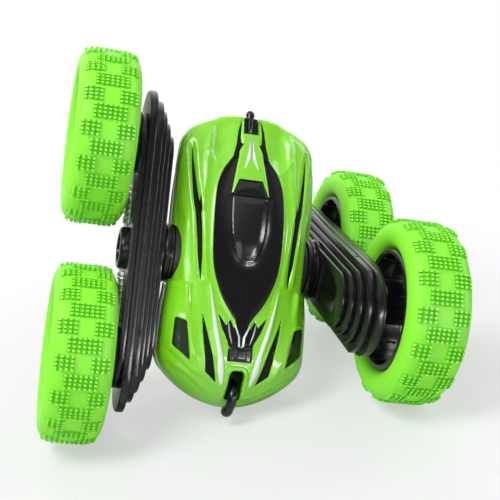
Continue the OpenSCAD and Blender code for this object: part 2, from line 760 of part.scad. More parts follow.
module arm_screws(side) stance() arm_side(side) color("#8d8d92")
    at_arm_screws() difference() {
        union() {
            rod_x(screw_r, gear_x + 0.3, split_x + 4.4);
            rod_x(screw_head_r, split_x + 4.25, split_x + 5.8);
        }
        rotate([90, 0, 90]) cross_slot(split_x + 5, split_x + 6);
    }
module left_arm_screws() arm_screws(-1);
module right_arm_screws() arm_screws(1);

// ribbed bars on the outer face, either side of the hub cap
module shock_trim(side) stance() arm_side(side) color("gainsboro")
    for (end = [-1, 1]) translate([split_x + 6.05, end * 22.8, 0]) {
        half_h = 3.6;
        block(0, 1.5, -11.6, 11.6, -half_h, half_h);
        for (k = [-4:4]) block(1.4, 3, k * 2.4 - 0.7, k * 2.4 + 0.7, -half_h, half_h);
    }
module left_shock_trim() shock_trim(-1);
module right_shock_trim() shock_trim(1);

module drive_shaft(side) stance() arm_side(side) color("silver")
    rod_x(shaft_r, 17.9, split_x + 4.3);
module left_drive_shaft() drive_shaft(-1);
module right_drive_shaft() drive_shaft(1);

module sun_gear(side) stance() arm_side(side) color("whitesmoke")
    gear(sun_teeth, arm_module, gear_x, gear_x + arm_gear_t, 0, 0, shaft_r + 0.02,
        arm_tooth);
module left_sun_gear() sun_gear(-1);
module right_sun_gear() sun_gear(1);

module idler_gear(side, end) stance() arm_side(side) color("whitesmoke")
    gear(idler_teeth, arm_module, gear_x, gear_x + arm_gear_t - 0.3, end * idler_y,
        idler_phase(end), post_r + run, arm_tooth);
module left_front_idler_gear() idler_gear(-1, -1);
module right_front_idler_gear() idler_gear(1, -1);
module left_rear_idler_gear() idler_gear(-1, 1);
module right_rear_idler_gear() idler_gear(1, 1);

// ---------- wheels ----------
// wheel frame: Z along the axle, outward, from the wheel's middle plane;
// profiles are [radius, Z]
module wheel_frame(side, end) stance() arm_side(side)
    translate([track_half, end * half_base, 0]) rotate([90, 0, 90]) children();

// hollow tyre, open to the rim
module tyre(side, end) wheel_frame(side, end) color("#7fe03a") {
    lip_r = 28.6;
    lip_z = half_tyre - 0.9;
    bead_r = 29;
    bead_z = half_tyre - 4;
    hollow_r = tyre_r - 3.2;
    rotate_extrude($fn = 96) polygon(concat(
        [[rim_r, -lip_z], [lip_r, -lip_z], [lip_r, -half_tyre]],
        [for (k = [3:-1:0]) [tread[k][0], -tread[k][1]]],
        tread,
        [[lip_r, half_tyre], [lip_r, lip_z], [rim_r, lip_z],
            [rim_r, bead_z], [bead_r, bead_z], [bead_r, half_tyre - 2.8],
            [hollow_r, half_tyre - 3.6], [hollow_r, -half_tyre + 3.6],
            [bead_r, -half_tyre + 2.8], [bead_r, -bead_z], [rim_r, -bead_z]]));
}
module left_front_tyre() tyre(-1, -1);
module right_front_tyre() tyre(1, -1);
module left_rear_tyre() tyre(-1, 1);
module right_rear_tyre() tyre(1, 1);

module rim(side, end) wheel_frame(side, end) color("#151515") difference() {
    flange_r = 28.5;
    flange_z = half_tyre - 0.8;
    bore_r = rim_r - 2.2;
    spoke_w = 7.2;
    union() {
        rotate_extrude($fn = 96) polygon([[bore_r, -half_tyre], [flange_r, -half_tyre],
            [flange_r, -flange_z], [rim_r - 0.1, -flange_z],
            [rim_r - 0.1, flange_z], [flange_r, flange_z], [flange_r, half_tyre],
            [bore_r, half_tyre]]);
        // hub
        translate([0, 0, -half_tyre + 1]) cylinder(r = 6.5, h = tyre_w - 0.7);
        for (k = [0:spokes - 1]) rotate(k * 360 / spokes)
            translate([5, -spoke_w / 2, 4]) cube([rim_r - 6.6, spoke_w, 4]);
        // disc at the roots of the spokes
        translate([0, 0, 4.5]) cylinder(r = 11, h = 2.5);
    }
    // axle bore, screw hole and seat of the screw's head
    translate([0, 0, -half_tyre]) cylinder(r = axle_r + 0.02, h = 15);
    cylinder(r = 1.2, h = 40);
    translate([0, 0, half_tyre - 3.4]) cylinder(r = 3.4, h = 10);
}
module left_front_rim() rim(-1, -1);
module right_front_rim() rim(1, -1);
module left_rear_rim() rim(-1, 1);
module right_rear_rim() rim(1, 1);

// gear in one piece with the wheel's axle
module axle_gear(side, end) stance() arm_side(side) color("whitesmoke") difference() {
    union() {
        gear(axle_teeth, arm_module, gear_x, gear_x + arm_gear_t, end * half_base,
            axle_phase(end), 1, arm_tooth);
        rod_x(axle_r, arm_x0 + 2.7, track_half + 1.9, end * half_base);
    }
    rod_x(arm_pilot_r, track_half - 6, track_half + 3, end * half_base);
}
module left_front_axle_gear() axle_gear(-1, -1);
module right_front_axle_gear() axle_gear(1, -1);
module left_rear_axle_gear() axle_gear(-1, 1);
module right_rear_axle_gear() axle_gear(1, 1);

module wheel_screw(side, end) wheel_frame(side, end) color("silver") difference() {
    union() {
        translate([0, 0, -5]) cylinder(r = screw_r, h = 15);
        translate([0, 0, half_tyre - 3.35]) cylinder(r = 2.9, h = 2.2);
    }
    cross_slot(half_tyre - 2.2, half_tyre, half_l = 2, half_w = 0.4);
}
module left_front_wheel_screw() wheel_screw(-1, -1);
module right_front_wheel_screw() wheel_screw(1, -1);
module left_rear_wheel_screw() wheel_screw(-1, 1);
module right_rear_wheel_screw() wheel_screw(1, 1);

// ---------- draw ----------
function on(name) = node == "all" || node == name;

if (on("upper_shell")) upper_shell();
if (on("lower_shell")) lower_shell();
if (on("upper_canopy")) upper_canopy();
if (on("chassis_frame")) chassis_frame();
if (on("front_peg")) front_peg();
if (on("rear_peg")) rear_peg();
if (on("left_headlight_lens")) left_headlight_lens();
if (on("right_headlight_lens")) right_headlight_lens();
if (on("headlight_leds")) headlight_leds();
if (on("circuit_board")) circuit_board();
if (on("battery_pack")) battery_pack();
if (on("left_motor")) left_motor();
if (on("right_motor")) right_motor();
if (on("pivot_bushes")) pivot_bushes();
if (on("power_switch")) power_switch();
if (on("shell_screws")) shell_screws();
if (on("wiring")) wiring();
if (on("battery_cover")) battery_cover();
if (on("battery_cover_screw")) battery_cover_screw();
if (on("switch_slider")) switch_slider();
if (on("left_motor_pinion")) left_motor_pinion();
if (on("right_motor_pinion")) right_motor_pinion();
if (on("left_reduction_gear")) left_reduction_gear();
if (on("right_reduction_gear")) right_reduction_gear();
if (on("left_clutch_gear")) left_clutch_gear();
if (on("right_clutch_gear")) right_clutch_gear();
if (on("left_arm_inner_cover")) left_arm_inner_cover();
if (on("right_arm_inner_cover")) right_arm_inner_cover();
if (on("left_arm_outer_cover")) left_arm_outer_cover();
if (on("right_arm_outer_cover")) right_arm_outer_cover();
if (on("left_arm_hub_cap")) left_arm_hub_cap();
if (on("right_arm_hub_cap")) right_arm_hub_cap();
if (on("left_arm_screws")) left_arm_screws();
if (on("right_arm_screws")) right_arm_screws();
if (on("left_shock_trim")) left_shock_trim();
if (on("right_shock_trim")) right_shock_trim();
if (on("left_drive_shaft")) left_drive_shaft();
if (on("right_drive_shaft")) right_drive_shaft();
if (on("left_sun_gear")) left_sun_gear();
if (on("right_sun_gear")) right_sun_gear();
if (on("left_front_idler_gear")) left_front_idler_gear();
if (on("right_front_idler_gear")) right_front_idler_gear();
if (on("left_rear_idler_gear")) left_rear_idler_gear();
if (on("right_rear_idler_gear")) right_rear_idler_gear();
if (on("left_front_tyre")) left_front_tyre();
if (on("right_front_tyre")) right_front_tyre();
if (on("left_rear_tyre")) left_rear_tyre();
if (on("right_rear_tyre")) right_rear_tyre();
if (on("left_front_rim")) left_front_rim();
if (on("right_front_rim")) right_front_rim();
if (on("left_rear_rim")) left_rear_rim();
if (on("right_rear_rim")) right_rear_rim();
if (on("left_front_axle_gear")) left_front_axle_gear();
if (on("right_front_axle_gear")) right_front_axle_gear();
if (on("left_rear_axle_gear")) left_rear_axle_gear();
if (on("right_rear_axle_gear")) right_rear_axle_gear();
if (on("left_front_wheel_screw")) left_front_wheel_screw();
if (on("right_front_wheel_screw")) right_front_wheel_screw();
if (on("left_rear_wheel_screw")) left_rear_wheel_screw();
if (on("right_rear_wheel_screw")) right_rear_wheel_screw();
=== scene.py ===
"""Toy car: a two-sided body between two swing arms, each with a studded wheel at both ends.

Parts are modelled in millimetres in a design frame: X along the arms' pivot axis (positive to
the right), Y from nose to tail, Z up through the upper shell. piece() carries them into the
CAD's metres. Parts of the right side are mirrored to make the left side.
"""
import json
import math

import bmesh
import bpy
import numpy as np
from mathutils import Matrix, Vector


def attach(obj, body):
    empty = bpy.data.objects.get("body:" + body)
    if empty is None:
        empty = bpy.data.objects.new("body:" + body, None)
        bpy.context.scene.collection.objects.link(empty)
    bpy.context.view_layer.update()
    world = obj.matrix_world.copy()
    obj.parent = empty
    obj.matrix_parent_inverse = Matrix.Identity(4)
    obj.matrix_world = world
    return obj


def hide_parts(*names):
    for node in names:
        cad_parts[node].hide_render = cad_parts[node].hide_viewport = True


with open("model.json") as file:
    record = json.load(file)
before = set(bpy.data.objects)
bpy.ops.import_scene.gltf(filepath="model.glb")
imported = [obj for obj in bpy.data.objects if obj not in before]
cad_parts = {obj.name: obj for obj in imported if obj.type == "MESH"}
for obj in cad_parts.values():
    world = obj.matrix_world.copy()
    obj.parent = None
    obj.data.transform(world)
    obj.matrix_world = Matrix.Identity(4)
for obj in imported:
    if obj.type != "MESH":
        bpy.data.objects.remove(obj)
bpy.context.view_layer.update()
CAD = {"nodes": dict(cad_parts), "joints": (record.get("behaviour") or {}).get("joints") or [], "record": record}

# ------------------------------------------------------------------ frames
MM = 0.001
JOINTS = {joint["name"]: joint for joint in CAD["joints"]}


def joint_at(name):
    return Vector(JOINTS[name]["pos_m"])


PIVOT_AXIS = Vector(JOINTS["left_arm_swing"]["axis"]).normalized()
ORIGIN = (joint_at("left_arm_swing") + joint_at("right_arm_swing")) / 2


def placement(axes, origin, scale=1.0):
    """The 4x4 matrix with these axes as columns."""
    matrix = Matrix.Identity(4)
    for row in range(3):
        for column in range(3):
            matrix[row][column] = axes[column][row] * scale
        matrix[row][3] = origin[row]
    return matrix


def side_frame(side):
    """Design frame whose Y runs from that side's front wheel to its rear wheel."""
    along = joint_at(f"{side}_rear_wheel_spin") - joint_at(f"{side}_front_wheel_spin")
    along.normalize()
    return np.array(placement((PIVOT_AXIS, along, PIVOT_AXIS.cross(along)), ORIGIN, MM))


FRAMES = {"body": side_frame("left"), "left": side_frame("left"), "right": side_frame("right")}


# ------------------------------------------------------------------ parts
# A part is a pair: its vertices and its faces.
def merge(*parts):
    vertices, faces, start = [], [], 0
    for points, polygons in parts:
        vertices.append(np.asarray(points, float))
        faces += [tuple(i + start for i in polygon) for polygon in polygons]
        start += len(points)
    return np.vstack(vertices), faces


def mirror(part, axis=0):
    vertices = np.array(part[0], float)
    vertices[:, axis] *= -1
    return vertices, [tuple(reversed(face)) for face in part[1]]


def both_sides(part):
    return merge(part, mirror(part))


def shift(part, offset):
    return np.asarray(part[0], float) + np.array(offset, float), part[1]


def turn(part, degrees):
    """Turns a part about the X axis."""
    rotation = np.array(Matrix.Rotation(math.radians(degrees), 3, "X"))
    return np.asarray(part[0], float) @ rotation.T, part[1]


def fix_normals(part):
    """Turns every closed piece so that its faces look outwards."""
    mesh = bmesh.new()
    corners = [mesh.verts.new(point) for point in part[0]]
    for face in part[1]:
        try:
            mesh.faces.new([corners[i] for i in face])
        except ValueError:  # guards against a face that repeats another or a corner
            pass
    bmesh.ops.recalc_face_normals(mesh, faces=mesh.faces)
    mesh.verts.index_update()
    vertices = np.array([vertex.co[:] for vertex in mesh.verts])
    faces = [tuple(vertex.index for vertex in face.verts) for face in mesh.faces]
    mesh.free()
    return vertices, faces


def bands(rings, wrap=False):
    """Faces between neighbouring rings of equal length; wrap joins the last to the first."""
    count, size = len(rings), len(rings[0])
    faces = []
    for i in range(count if wrap else count - 1):
        low, high = i * size, (i + 1) % count * size
        for j in range(size):
            k = (j + 1) % size
            faces.append((low + j, low + k, high + k, high + j))
    return faces


def skin(rings, wrap=False):
    """A closed solid through rings, capped at both ends or wrapped round."""
    faces = bands(rings, wrap)
    if not wrap:
        size, last = len(rings[0]), (len(rings) - 1) * len(rings[0])
        faces.append(tuple(range(size - 1, -1, -1)))
        faces.append(tuple(last + j for j in range(size)))
    return fix_normals((np.vstack([np.asarray(ring, float) for ring in rings]), faces))


def circle(radius, x=0.0, y=0.0, sides=32):
    turns = [2 * math.pi * i / sides for i in range(sides)]
    return [(x + radius * math.cos(t), y + radius * math.sin(t)) for t in turns]


def rectangle(x0, x1, y0, y1):
    return [(x0, y0), (x1, y0), (x1, y1), (x0, y1)]


def lathe(profile, sides):
    """Turns a closed profile of (radius, x) round the X axis."""
    radius, x = np.array(profile, float).T
    turns = [2 * math.pi * i / sides for i in range(sides)]
    rings = [np.stack([x, radius * math.cos(t), radius * math.sin(t)], -1) for t in turns]
    return skin(rings, wrap=True)


def spindle(profile, sides):
    """Like lathe, for an open profile that is capped flat at both ends."""
    return skin([[(x, *p) for p in circle(radius, sides=sides)] for radius, x in profile])


def area(outline):
    here = np.asarray(outline, float)
    after = np.roll(here, -1, 0)
    return 0.5 * float(np.sum(here[:, 0] * after[:, 1] - after[:, 0] * here[:, 1]))


def anticlockwise(outline):
    points = np.array(outline, float)
    return points[::-1] if area(points) < 0 else points


def inset(outline, distance):
    """Moves a simple outline inwards."""
    points = anticlockwise(outline)
    normals = []
    for edge in (points - np.roll(points, 1, 0), np.roll(points, -1, 0) - points):
        edge = edge / np.maximum(np.linalg.norm(edge, axis=1), 1e-9)[:, None]
        normals.append(np.stack([-edge[:, 1], edge[:, 0]], -1))
    middle = normals[0] + normals[1]
    middle /= np.maximum(np.linalg.norm(middle, axis=1), 1e-9)[:, None]
    # the floor keeps sharp corners from running away
    slant = np.maximum((middle * normals[0]).sum(1), 0.4)
    return points + middle * (distance / slant)[:, None]


def rounded(outline, radius):
    """Rounds the corners of an outline, five points to a corner."""
    points = np.array(outline, float)
    curve = []
    for i, corner in enumerate(points):
        back, ahead = points[i - 1] - corner, points[(i + 1) % len(points)] - corner
        back_length, ahead_length = np.linalg.norm(back), np.linalg.norm(ahead)
        reach = min(radius, back_length * 0.45, ahead_length * 0.45)
        start = corner + back / back_length * reach
        end = corner + ahead / ahead_length * reach
        for t in np.linspace(0, 1, 5):
            curve.append((1 - t) ** 2 * start + 2 * t * (1 - t) * corner + t * t * end)
    return np.array(curve)


def spline(points, step):
    """Points along a Catmull-Rom curve, no further apart than step on the chord."""
    points = np.array(points, float)
    last = len(points) - 1
    curve = [points[0]]
    for i in range(last):
        before, start, end, after = points[[max(i - 1, 0), i, i + 1, min(i + 2, last)]]
        count = max(1, int(math.ceil(np.linalg.norm(end - start) / step)))
        for k in range(1, count + 1):
            t = k / count
            curve.append(0.5 * (2 * start + (end - before) * t
                                + (2 * before - 5 * start + 4 * end - after) * t * t
                                + (3 * start - before - 3 * end + after) * t ** 3))
    return np.array(curve)


def plate(outline, start, end, bevel, axis="x"):
    """A bevelled plate: the outline is in Y, Z for axis x, and in X, Y for axis z."""
    outline = anticlockwise(outline)
    steps = [(bevel * (1 - math.cos(t)), bevel * (1 - math.sin(t)))
             for t in (0, math.pi / 4, math.pi / 2)]
    levels = [(start + rise, depth) for rise, depth in steps]
    levels += [(end - rise, depth) for rise, depth in reversed(steps)]
    rings = []
    for level, depth in levels:
        ring = inset(outline, depth)
        rings.append([(level, a, b) if axis == "x" else (a, b, level) for a, b in ring])
    return skin(rings)


def prism(outline, start, end):
    """An upright prism from an outline in X, Y."""
    return skin([[(a, b, z) for a, b in anticlockwise(outline)] for z in (start, end)])


def rod(radius, start, end, y=0.0, z=0.0, sides=48):
    """A rod along X."""
    return skin([[(x, *p) for p in circle(radius, y, z, sides)] for x in (start, end)])


def tube(points, radii, sides=24):
    """A bent rod through points, with rounded ends."""
    tangents = np.gradient(points, axis=0)
    tangents /= np.linalg.norm(tangents, axis=1)[:, None]
    across = np.cross(tangents[0], (1, 0, 0))
    cap_turns = [math.pi / 2 * k / 4.4 for k in (1, 2, 3, 4)]
    rings = []
    for i, (point, tangent, radius) in enumerate(zip(points, tangents, radii)):
        across = across - tangent * np.dot(across, tangent)
        across /= np.linalg.norm(across)
        other = np.cross(tangent, across)
        caps = [(tangent * radius * math.sin(t), radius * math.cos(t)) for t in cap_turns]
        stops = [(point, radius)]
        if i == 0:
            stops = [(point - reach, size) for reach, size in reversed(caps)] + stops
        if i == len(points) - 1:
            stops += [(point + reach, size) for reach, size in caps]
        for centre, size in stops:
            rings.append([centre + size * (across * a + other * b)
                          for a, b in circle(1.0, sides=sides)])
    return skin(rings)


# ------------------------------------------------------------------ booleans and placing
def to_mesh(part, name="tmp"):
    mesh = bpy.data.meshes.new(name)
    mesh.from_pydata(np.asarray(part[0], float).tolist(), [], [list(face) for face in part[1]])
    mesh.validate()
    return mesh


def from_mesh(mesh):
    places = np.zeros(len(mesh.vertices) * 3)
    mesh.vertices.foreach_get("co", places)
    return places.reshape(-1, 3), [tuple(face.vertices) for face in mesh.polygons]


def evaluated_mesh(item):
    bpy.context.view_layer.update()
    return bpy.data.meshes.new_from_object(
        item.evaluated_get(bpy.context.evaluated_depsgraph_get()))


def boolean(part, tool, operation):
    meshes = [to_mesh(part), to_mesh(tool)]
    items = [bpy.data.objects.new("tmp", mesh) for mesh in meshes]
    for item in items:
        bpy.context.scene.collection.objects.link(item)
    modifier = items[0].modifiers.new("boolean", "BOOLEAN")
    modifier.operation = operation
    modifier.object = items[1]
    modifier.solver = "MANIFOLD"
    meshes.append(evaluated_mesh(items[0]))
    if len(meshes[-1].polygons) == 0:  # the quick solver gives nothing for an open solid
        modifier.solver = "EXACT"
        meshes.append(evaluated_mesh(items[0]))
    result = from_mesh(meshes[-1])
    for item in items:
        bpy.data.objects.remove(item)
    for mesh in meshes:
        bpy.data.meshes.remove(mesh)
    return result


def cut(part, *tools):
    for tool in tools:
        part = boolean(part, tool, "DIFFERENCE")
    return part


def join(part, *others):
    for other in others:
        part = boolean(part, other, "UNION")
    return part


def mark_sharp(mesh, degrees):
    """Marks as sharp the edges whose two faces meet at more than this angle."""
    loop_edges = np.zeros(len(mesh.loops), np.int32)
    mesh.loops.foreach_get("edge_index", loop_edges)
    totals = np.zeros(len(mesh.polygons), np.int32)
    mesh.polygons.foreach_get("loop_total", totals)
    normals = np.zeros(len(mesh.polygons) * 3)
    mesh.polygons.foreach_get("normal", normals)
    normals = np.repeat(normals.reshape(-1, 3), totals, axis=0)
    order = np.argsort(loop_edges, kind="stable")
    loop_edges, normals = loop_edges[order], normals[order]
    same = loop_edges[1:] == loop_edges[:-1]
    cosines = (normals[1:] * normals[:-1]).sum(1)
    sharp = np.zeros(len(mesh.edges), bool)
    sharp[loop_edges[1:][same & (cosines < math.cos(math.radians(degrees)))]] = True
    attributes = mesh.attributes
    target = attributes.get("sharp_edge") or attributes.new("sharp_edge", "BOOLEAN", "EDGE")
    target.data.foreach_set("value", sharp)


def piece(name, part, materials, crease, rides="body", where="body", replaces=(),
          face_slots=None):
    """Places a part in its frame, shades it (crease in degrees) and puts it on its body."""
    vertices, faces = mirror(part) if where == "left" else part
    matrix = FRAMES[where]
    mesh = to_mesh((np.asarray(vertices) @ matrix[:3, :3].T + matrix[:3, 3], faces), name)
    mesh.update()
    mesh.shade_smooth()
    mark_sharp(mesh, crease)
    item = bpy.data.objects.new(name, mesh)
    bpy.context.scene.collection.objects.link(item)
    for material in materials if isinstance(materials, list) else [materials]:
        mesh.materials.append(material)
    # the slots only fit a mesh that lost no face when it was made
    if face_slots is not None and len(face_slots) == len(mesh.polygons):
        mesh.polygons.foreach_set("material_index", np.array(face_slots, np.int32))
    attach(item, rides)
    if replaces:
        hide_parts(*replaces)


# ------------------------------------------------------------------ shader helpers
def feed(tree, target, sockets):
    """Sets a node's inputs; a value that is itself a socket is linked."""
    for key, value in sockets.items():
        if isinstance(value, bpy.types.NodeSocket):
            tree.links.new(value, target.inputs[key])
        else:
            target.inputs[key].default_value = value


def node(tree, kind, sockets=None, **settings):
    new = tree.nodes.new("ShaderNode" + kind)
    for name, value in settings.items():
        setattr(new, name, value)
    feed(tree, new, sockets or {})
    return new


def new_material(name):
    material = bpy.data.materials.new(name)
    material.use_nodes = True
    return material, material.node_tree, material.node_tree.nodes["Principled BSDF"]


def mix(tree, factor, first, second):
    """Colour mix."""
    return node(tree, "Mix", {0: factor, 6: first, 7: second}, data_type="RGBA").outputs[2]


def calc(tree, operation, *values):
    return node(tree, "Math", dict(enumerate(values)), operation=operation).outputs[0]


def ramp(tree, factor, *stops, interpolation="LINEAR"):
    """Colour ramp through stops of (position, colour)."""
    new = node(tree, "ValToRGB", {"Fac": factor})
    new.color_ramp.interpolation = interpolation
    elements = new.color_ramp.elements
    for i in (0, -1):
        elements[i].position = stops[i][0]
        elements[i].color = (*stops[i][1], 1)
    for position, colour in stops[1:-1]:
        elements.new(position).color = (*colour, 1)
    return new.outputs["Color"]


def noise(tree, position, scale, detail, **more):
    sockets = {"Vector": position, "Scale": scale, "Detail": detail, **more}
    return node(tree, "TexNoise", sockets).outputs["Fac"]


def remap(tree, value, low, high):
    """Spreads 0..1 over low..high."""
    sockets = {"Value": value, "To Min": low, "To Max": high}
    return node(tree, "MapRange", sockets).outputs["Result"]


def bumps(tree, height, strength, distance):
    sockets = {"Height": height, "Strength": strength, "Distance": distance}
    return node(tree, "Bump", sockets).outputs["Normal"]


# ------------------------------------------------------------------ material kinds
def plastic(name, tones, rough, bump, grain, rough2=None, blotch=35.0, coat=0.0,
            coat_rough=0.08, edge=0.0, edge_tone=None, subsurface=0.0, specular=0.5,
            metallic=0.0, glow=0.0):
    """Moulded plastic: two close tones in soft blotches, a fine grain, and paler edges that are partly wear and
    partly a painted highlight.

    rough and rough2 bound the roughness, bump is the grain's strength, grain and blotch are noise scales, edge
    is the strength of the paler edges (partly wear, partly a painted highlight) and glow that of the emission, a
    painted glow.
    """
    material, tree, surface = new_material(name)
    position = node(tree, "TexCoord").outputs["Object"]
    blotches = noise(tree, position, blotch, detail=4.0, Roughness=0.55)
    grains = noise(tree, position, grain, detail=3.0, Roughness=0.6)
    colour = mix(tree, blotches, (*tones[0], 1), (*tones[1], 1))
    # sharp edges are painted paler: partly wear, partly a painted highlight
    if edge > 0:
        pointiness = node(tree, "NewGeometry").outputs["Pointiness"]
        wear_and_highlight = ramp(tree, pointiness, (0.53, (0, 0, 0)), (0.62, (edge, edge, edge)))
        wear_and_highlight = calc(tree, "MULTIPLY", wear_and_highlight, grains)
        colour = mix(tree, wear_and_highlight, colour, (*edge_tone, 1))
    rough2 = rough * 1.35 if rough2 is None else rough2
    feed(tree, surface, {
        "Base Color": colour,
        "Roughness": remap(tree, blotches, rough, rough2),
        "Normal": bumps(tree, grains, bump, distance=0.0005),
        "Coat Weight": coat,
        "Coat Roughness": coat_rough,
        "Metallic": metallic,
        "Specular IOR Level": specular,
    })
    if subsurface > 0:
        feed(tree, surface, {"Subsurface Weight": subsurface,
                             "Subsurface Radius": (0.4, 1.0, 0.2),
                             "Subsurface Scale": 0.0015})
    if glow > 0:
        feed(tree, surface, {"Emission Color": (*tones[0], 1), "Emission Strength": glow})
    return material


def metal(name, tone, rough, grain, bump=0.03):
    """Metal with a fine grain drawn out in one direction."""
    material, tree, surface = new_material(name)
    position = node(tree, "TexCoord").outputs["Object"]
    stretched = node(tree, "Mapping", {"Vector": position, "Scale": (1, 1, 12)})
    grains = noise(tree, stretched.outputs["Vector"], grain, detail=5.0)
    dark = [channel * 0.78 for channel in tone]
    feed(tree, surface, {
        "Base Color": ramp(tree, grains, (0.3, dark), (0.7, tone)),
        "Roughness": remap(tree, grains, rough * 0.8, rough * 1.4),
        "Normal": bumps(tree, grains, bump, distance=0.0003),
        "Metallic": 1.0,
    })
    return material


def clear_lens(name, tone):
    material = plastic(name, tones=(tone, tone), rough=0.03, rough2=0.06, bump=0.01, grain=300.0)
    tree = material.node_tree
    feed(tree, tree.nodes["Principled BSDF"], {"Transmission Weight": 0.94, "IOR": 1.42})
    return material


def circuit_board(name):
    """Green board with a brick pattern of paler lines."""
    material, tree, surface = new_material(name)
    position = node(tree, "TexCoord").outputs["Object"]
    bricks = node(tree, "TexBrick", {
        "Vector": position,
        "Scale": 420.0,
        "Color1": (0.012, 0.12, 0.04, 1),
        "Color2": (0.02, 0.17, 0.06, 1),
        "Mortar": (0.06, 0.32, 0.13, 1),
        "Mortar Size": 0.03,
    })
    patches = noise(tree, position, scale=160.0, detail=3.0)
    feed(tree, surface, {
        "Base Color": bricks.outputs["Color"],
        "Roughness": remap(tree, patches, low=0.2, high=0.45),
        "Normal": bumps(tree, bricks.outputs["Fac"], strength=0.3, distance=0.0002),
    })
    return material


# ------------------------------------------------------------------ materials
# the edge tones below paint paler sharp edges: partly wear, partly a painted highlight
GREEN = plastic("green_gloss", tones=((0.200, 0.635, 0.012), (0.232, 0.69, 0.017)), rough=0.24,
                coat=0.6, coat_rough=0.05, bump=0.012, grain=900, edge=0.25,
                edge_tone=(0.5, 0.95, 0.2))
# all three tyre tones glow faintly: painted light that brightens the tyre green
TYRE = plastic("tyre_green", tones=((0.225, 0.78, 0.026), (0.27, 0.84, 0.038)), rough=0.45,
               rough2=0.6, bump=0.08, grain=1300, blotch=60, specular=0.4, glow=0.05)
# a darker copy of the tyre green: painted shade in the gaps between pins and on their flanks
TYRE_SHADE = plastic("tyre_painted_shade", tones=((0.14, 0.62, 0.015), (0.18, 0.69, 0.026)), rough=0.6,
                      rough2=0.7, bump=0.08, grain=1300, blotch=60, specular=0.2, glow=0.04)
# a brighter copy of the tyre green: painted highlight on the pin tops
TYRE_PIN_HIGHLIGHT = plastic("tyre_pin_highlight", tones=((0.31, 0.88, 0.05), (0.36, 0.92, 0.08)), rough=0.4,
                   rough2=0.5, bump=0.05, grain=1300, blotch=60, glow=0.08)
BLACK_GLOSS = plastic("black_gloss", tones=((0.004, 0.004, 0.005), (0.008, 0.007, 0.009)),
                      rough=0.2, coat=0.12, coat_rough=0.1, bump=0.006, grain=600, specular=0.3)
CANOPY_SMOKE = plastic("canopy_smoke", tones=((0.008, 0.009, 0.009), (0.013, 0.014, 0.014)),
                       rough=0.16, bump=0.006, grain=700, specular=0.42)
BLACK_PRINT = plastic("black_print", tones=((0.003, 0.004, 0.003), (0.006, 0.007, 0.006)),
                      rough=0.5, bump=0.02, grain=1400, specular=0.14)
SILVER_PRINT = plastic("silver_print", tones=((0.74, 0.78, 0.74), (0.84, 0.87, 0.84)),
                       rough=0.32, coat=0.3, bump=0.05, grain=2600)
GREY_PRINT = plastic("grey_print", tones=((0.42, 0.44, 0.43), (0.52, 0.54, 0.53)), rough=0.3,
                     coat=0.3, bump=0.05, grain=2600, metallic=0.5)
ARM_BLACK = plastic("arm_black", tones=((0.0032, 0.0032, 0.0036), (0.0065, 0.0065, 0.0072)),
                    rough=0.2, rough2=0.3, bump=0.05, grain=1100, edge=0.5,
                    edge_tone=(0.07, 0.07, 0.075), specular=0.42)
DETAIL_BLACK = plastic("detail_black", tones=((0.004, 0.004, 0.005), (0.008, 0.008, 0.008)),
                       rough=0.22, coat=0.05, bump=0.04, grain=900, edge=0.35,
                       edge_tone=(0.09, 0.09, 0.09), specular=0.45)
RIM_BLACK = plastic("rim_black", tones=((0.005, 0.005, 0.006), (0.009, 0.009, 0.010)),
                    rough=0.22, coat=0.25, bump=0.03, grain=900, edge=0.5,
                    edge_tone=(0.1, 0.1, 0.1), specular=0.45)
SHOCK_SILVER = plastic("shock_silver", tones=((0.62, 0.63, 0.65), (0.74, 0.75, 0.77)),
                       rough=0.26, coat=0.4, bump=0.04, grain=1500, metallic=0.75, edge=0.3,
                       edge_tone=(0.95, 0.95, 0.96))
CHROME = metal("reflector_chrome", tone=(0.88, 0.89, 0.9), rough=0.12, grain=900, bump=0.02)
LENS = clear_lens("lens_clear", tone=(0.34, 0.46, 0.36))

CAD_MATERIALS = {
    "chassis_grey": plastic(
        "chassis_grey", tones=((0.010, 0.010, 0.011), (0.017, 0.017, 0.018)), rough=0.4,
        bump=0.08, grain=900, edge=0.4, edge_tone=(0.12, 0.12, 0.125), specular=0.35),
    "black_detail": DETAIL_BLACK,
    "led_white": plastic("led_white", tones=((0.86, 0.87, 0.82), (0.93, 0.94, 0.9)), rough=0.12,
                         coat=0.6, bump=0.01, grain=700, subsurface=0.3),
    "board_green": circuit_board("board_green"),
    "battery_wrap": plastic("battery_wrap", tones=((0.03, 0.14, 0.42), (0.04, 0.18, 0.5)),
                            rough=0.2, coat=0.5, bump=0.05, grain=260),
    "motor_steel": metal("motor_steel", tone=(0.66, 0.66, 0.68), rough=0.28, grain=260),
    "bush_brass": metal("bush_brass", tone=(0.80, 0.60, 0.27), rough=0.3, grain=300),
    "screw_steel": metal("screw_steel", tone=(0.52, 0.52, 0.55), rough=0.25, grain=900),
    "wire_red": plastic("wire_red", tones=((0.55, 0.03, 0.02), (0.62, 0.045, 0.03)), rough=0.4,
                        bump=0.04, grain=700),
    "pinion_brass": metal("pinion_brass", tone=(0.82, 0.62, 0.26), rough=0.22, grain=500),
    "gear_plastic": plastic("gear_plastic", tones=((0.78, 0.78, 0.74), (0.85, 0.85, 0.82)),
                            rough=0.4, bump=0.05, grain=900, subsurface=0.15, edge=0.3,
                            edge_tone=(0.95, 0.95, 0.92)),
    "shaft_steel": metal("shaft_steel", tone=(0.68, 0.68, 0.7), rough=0.18, grain=700),
    "arm_black": ARM_BLACK,
    "shock_silver": SHOCK_SILVER,
    "tyre_green": TYRE,
    "rim_black": RIM_BLACK,
    "green_shell": GREEN,
    "canopy_black": BLACK_GLOSS,
    "lens_clear": LENS,
}

RECORD_SLOTS = {}
for entry in CAD["record"].get("nodes", []):
    entry_slot = entry.get("material_slot") or entry.get("material") or entry.get("slot")
    if entry_slot:
        RECORD_SLOTS[entry.get("name") or entry.get("node")] = entry_slot

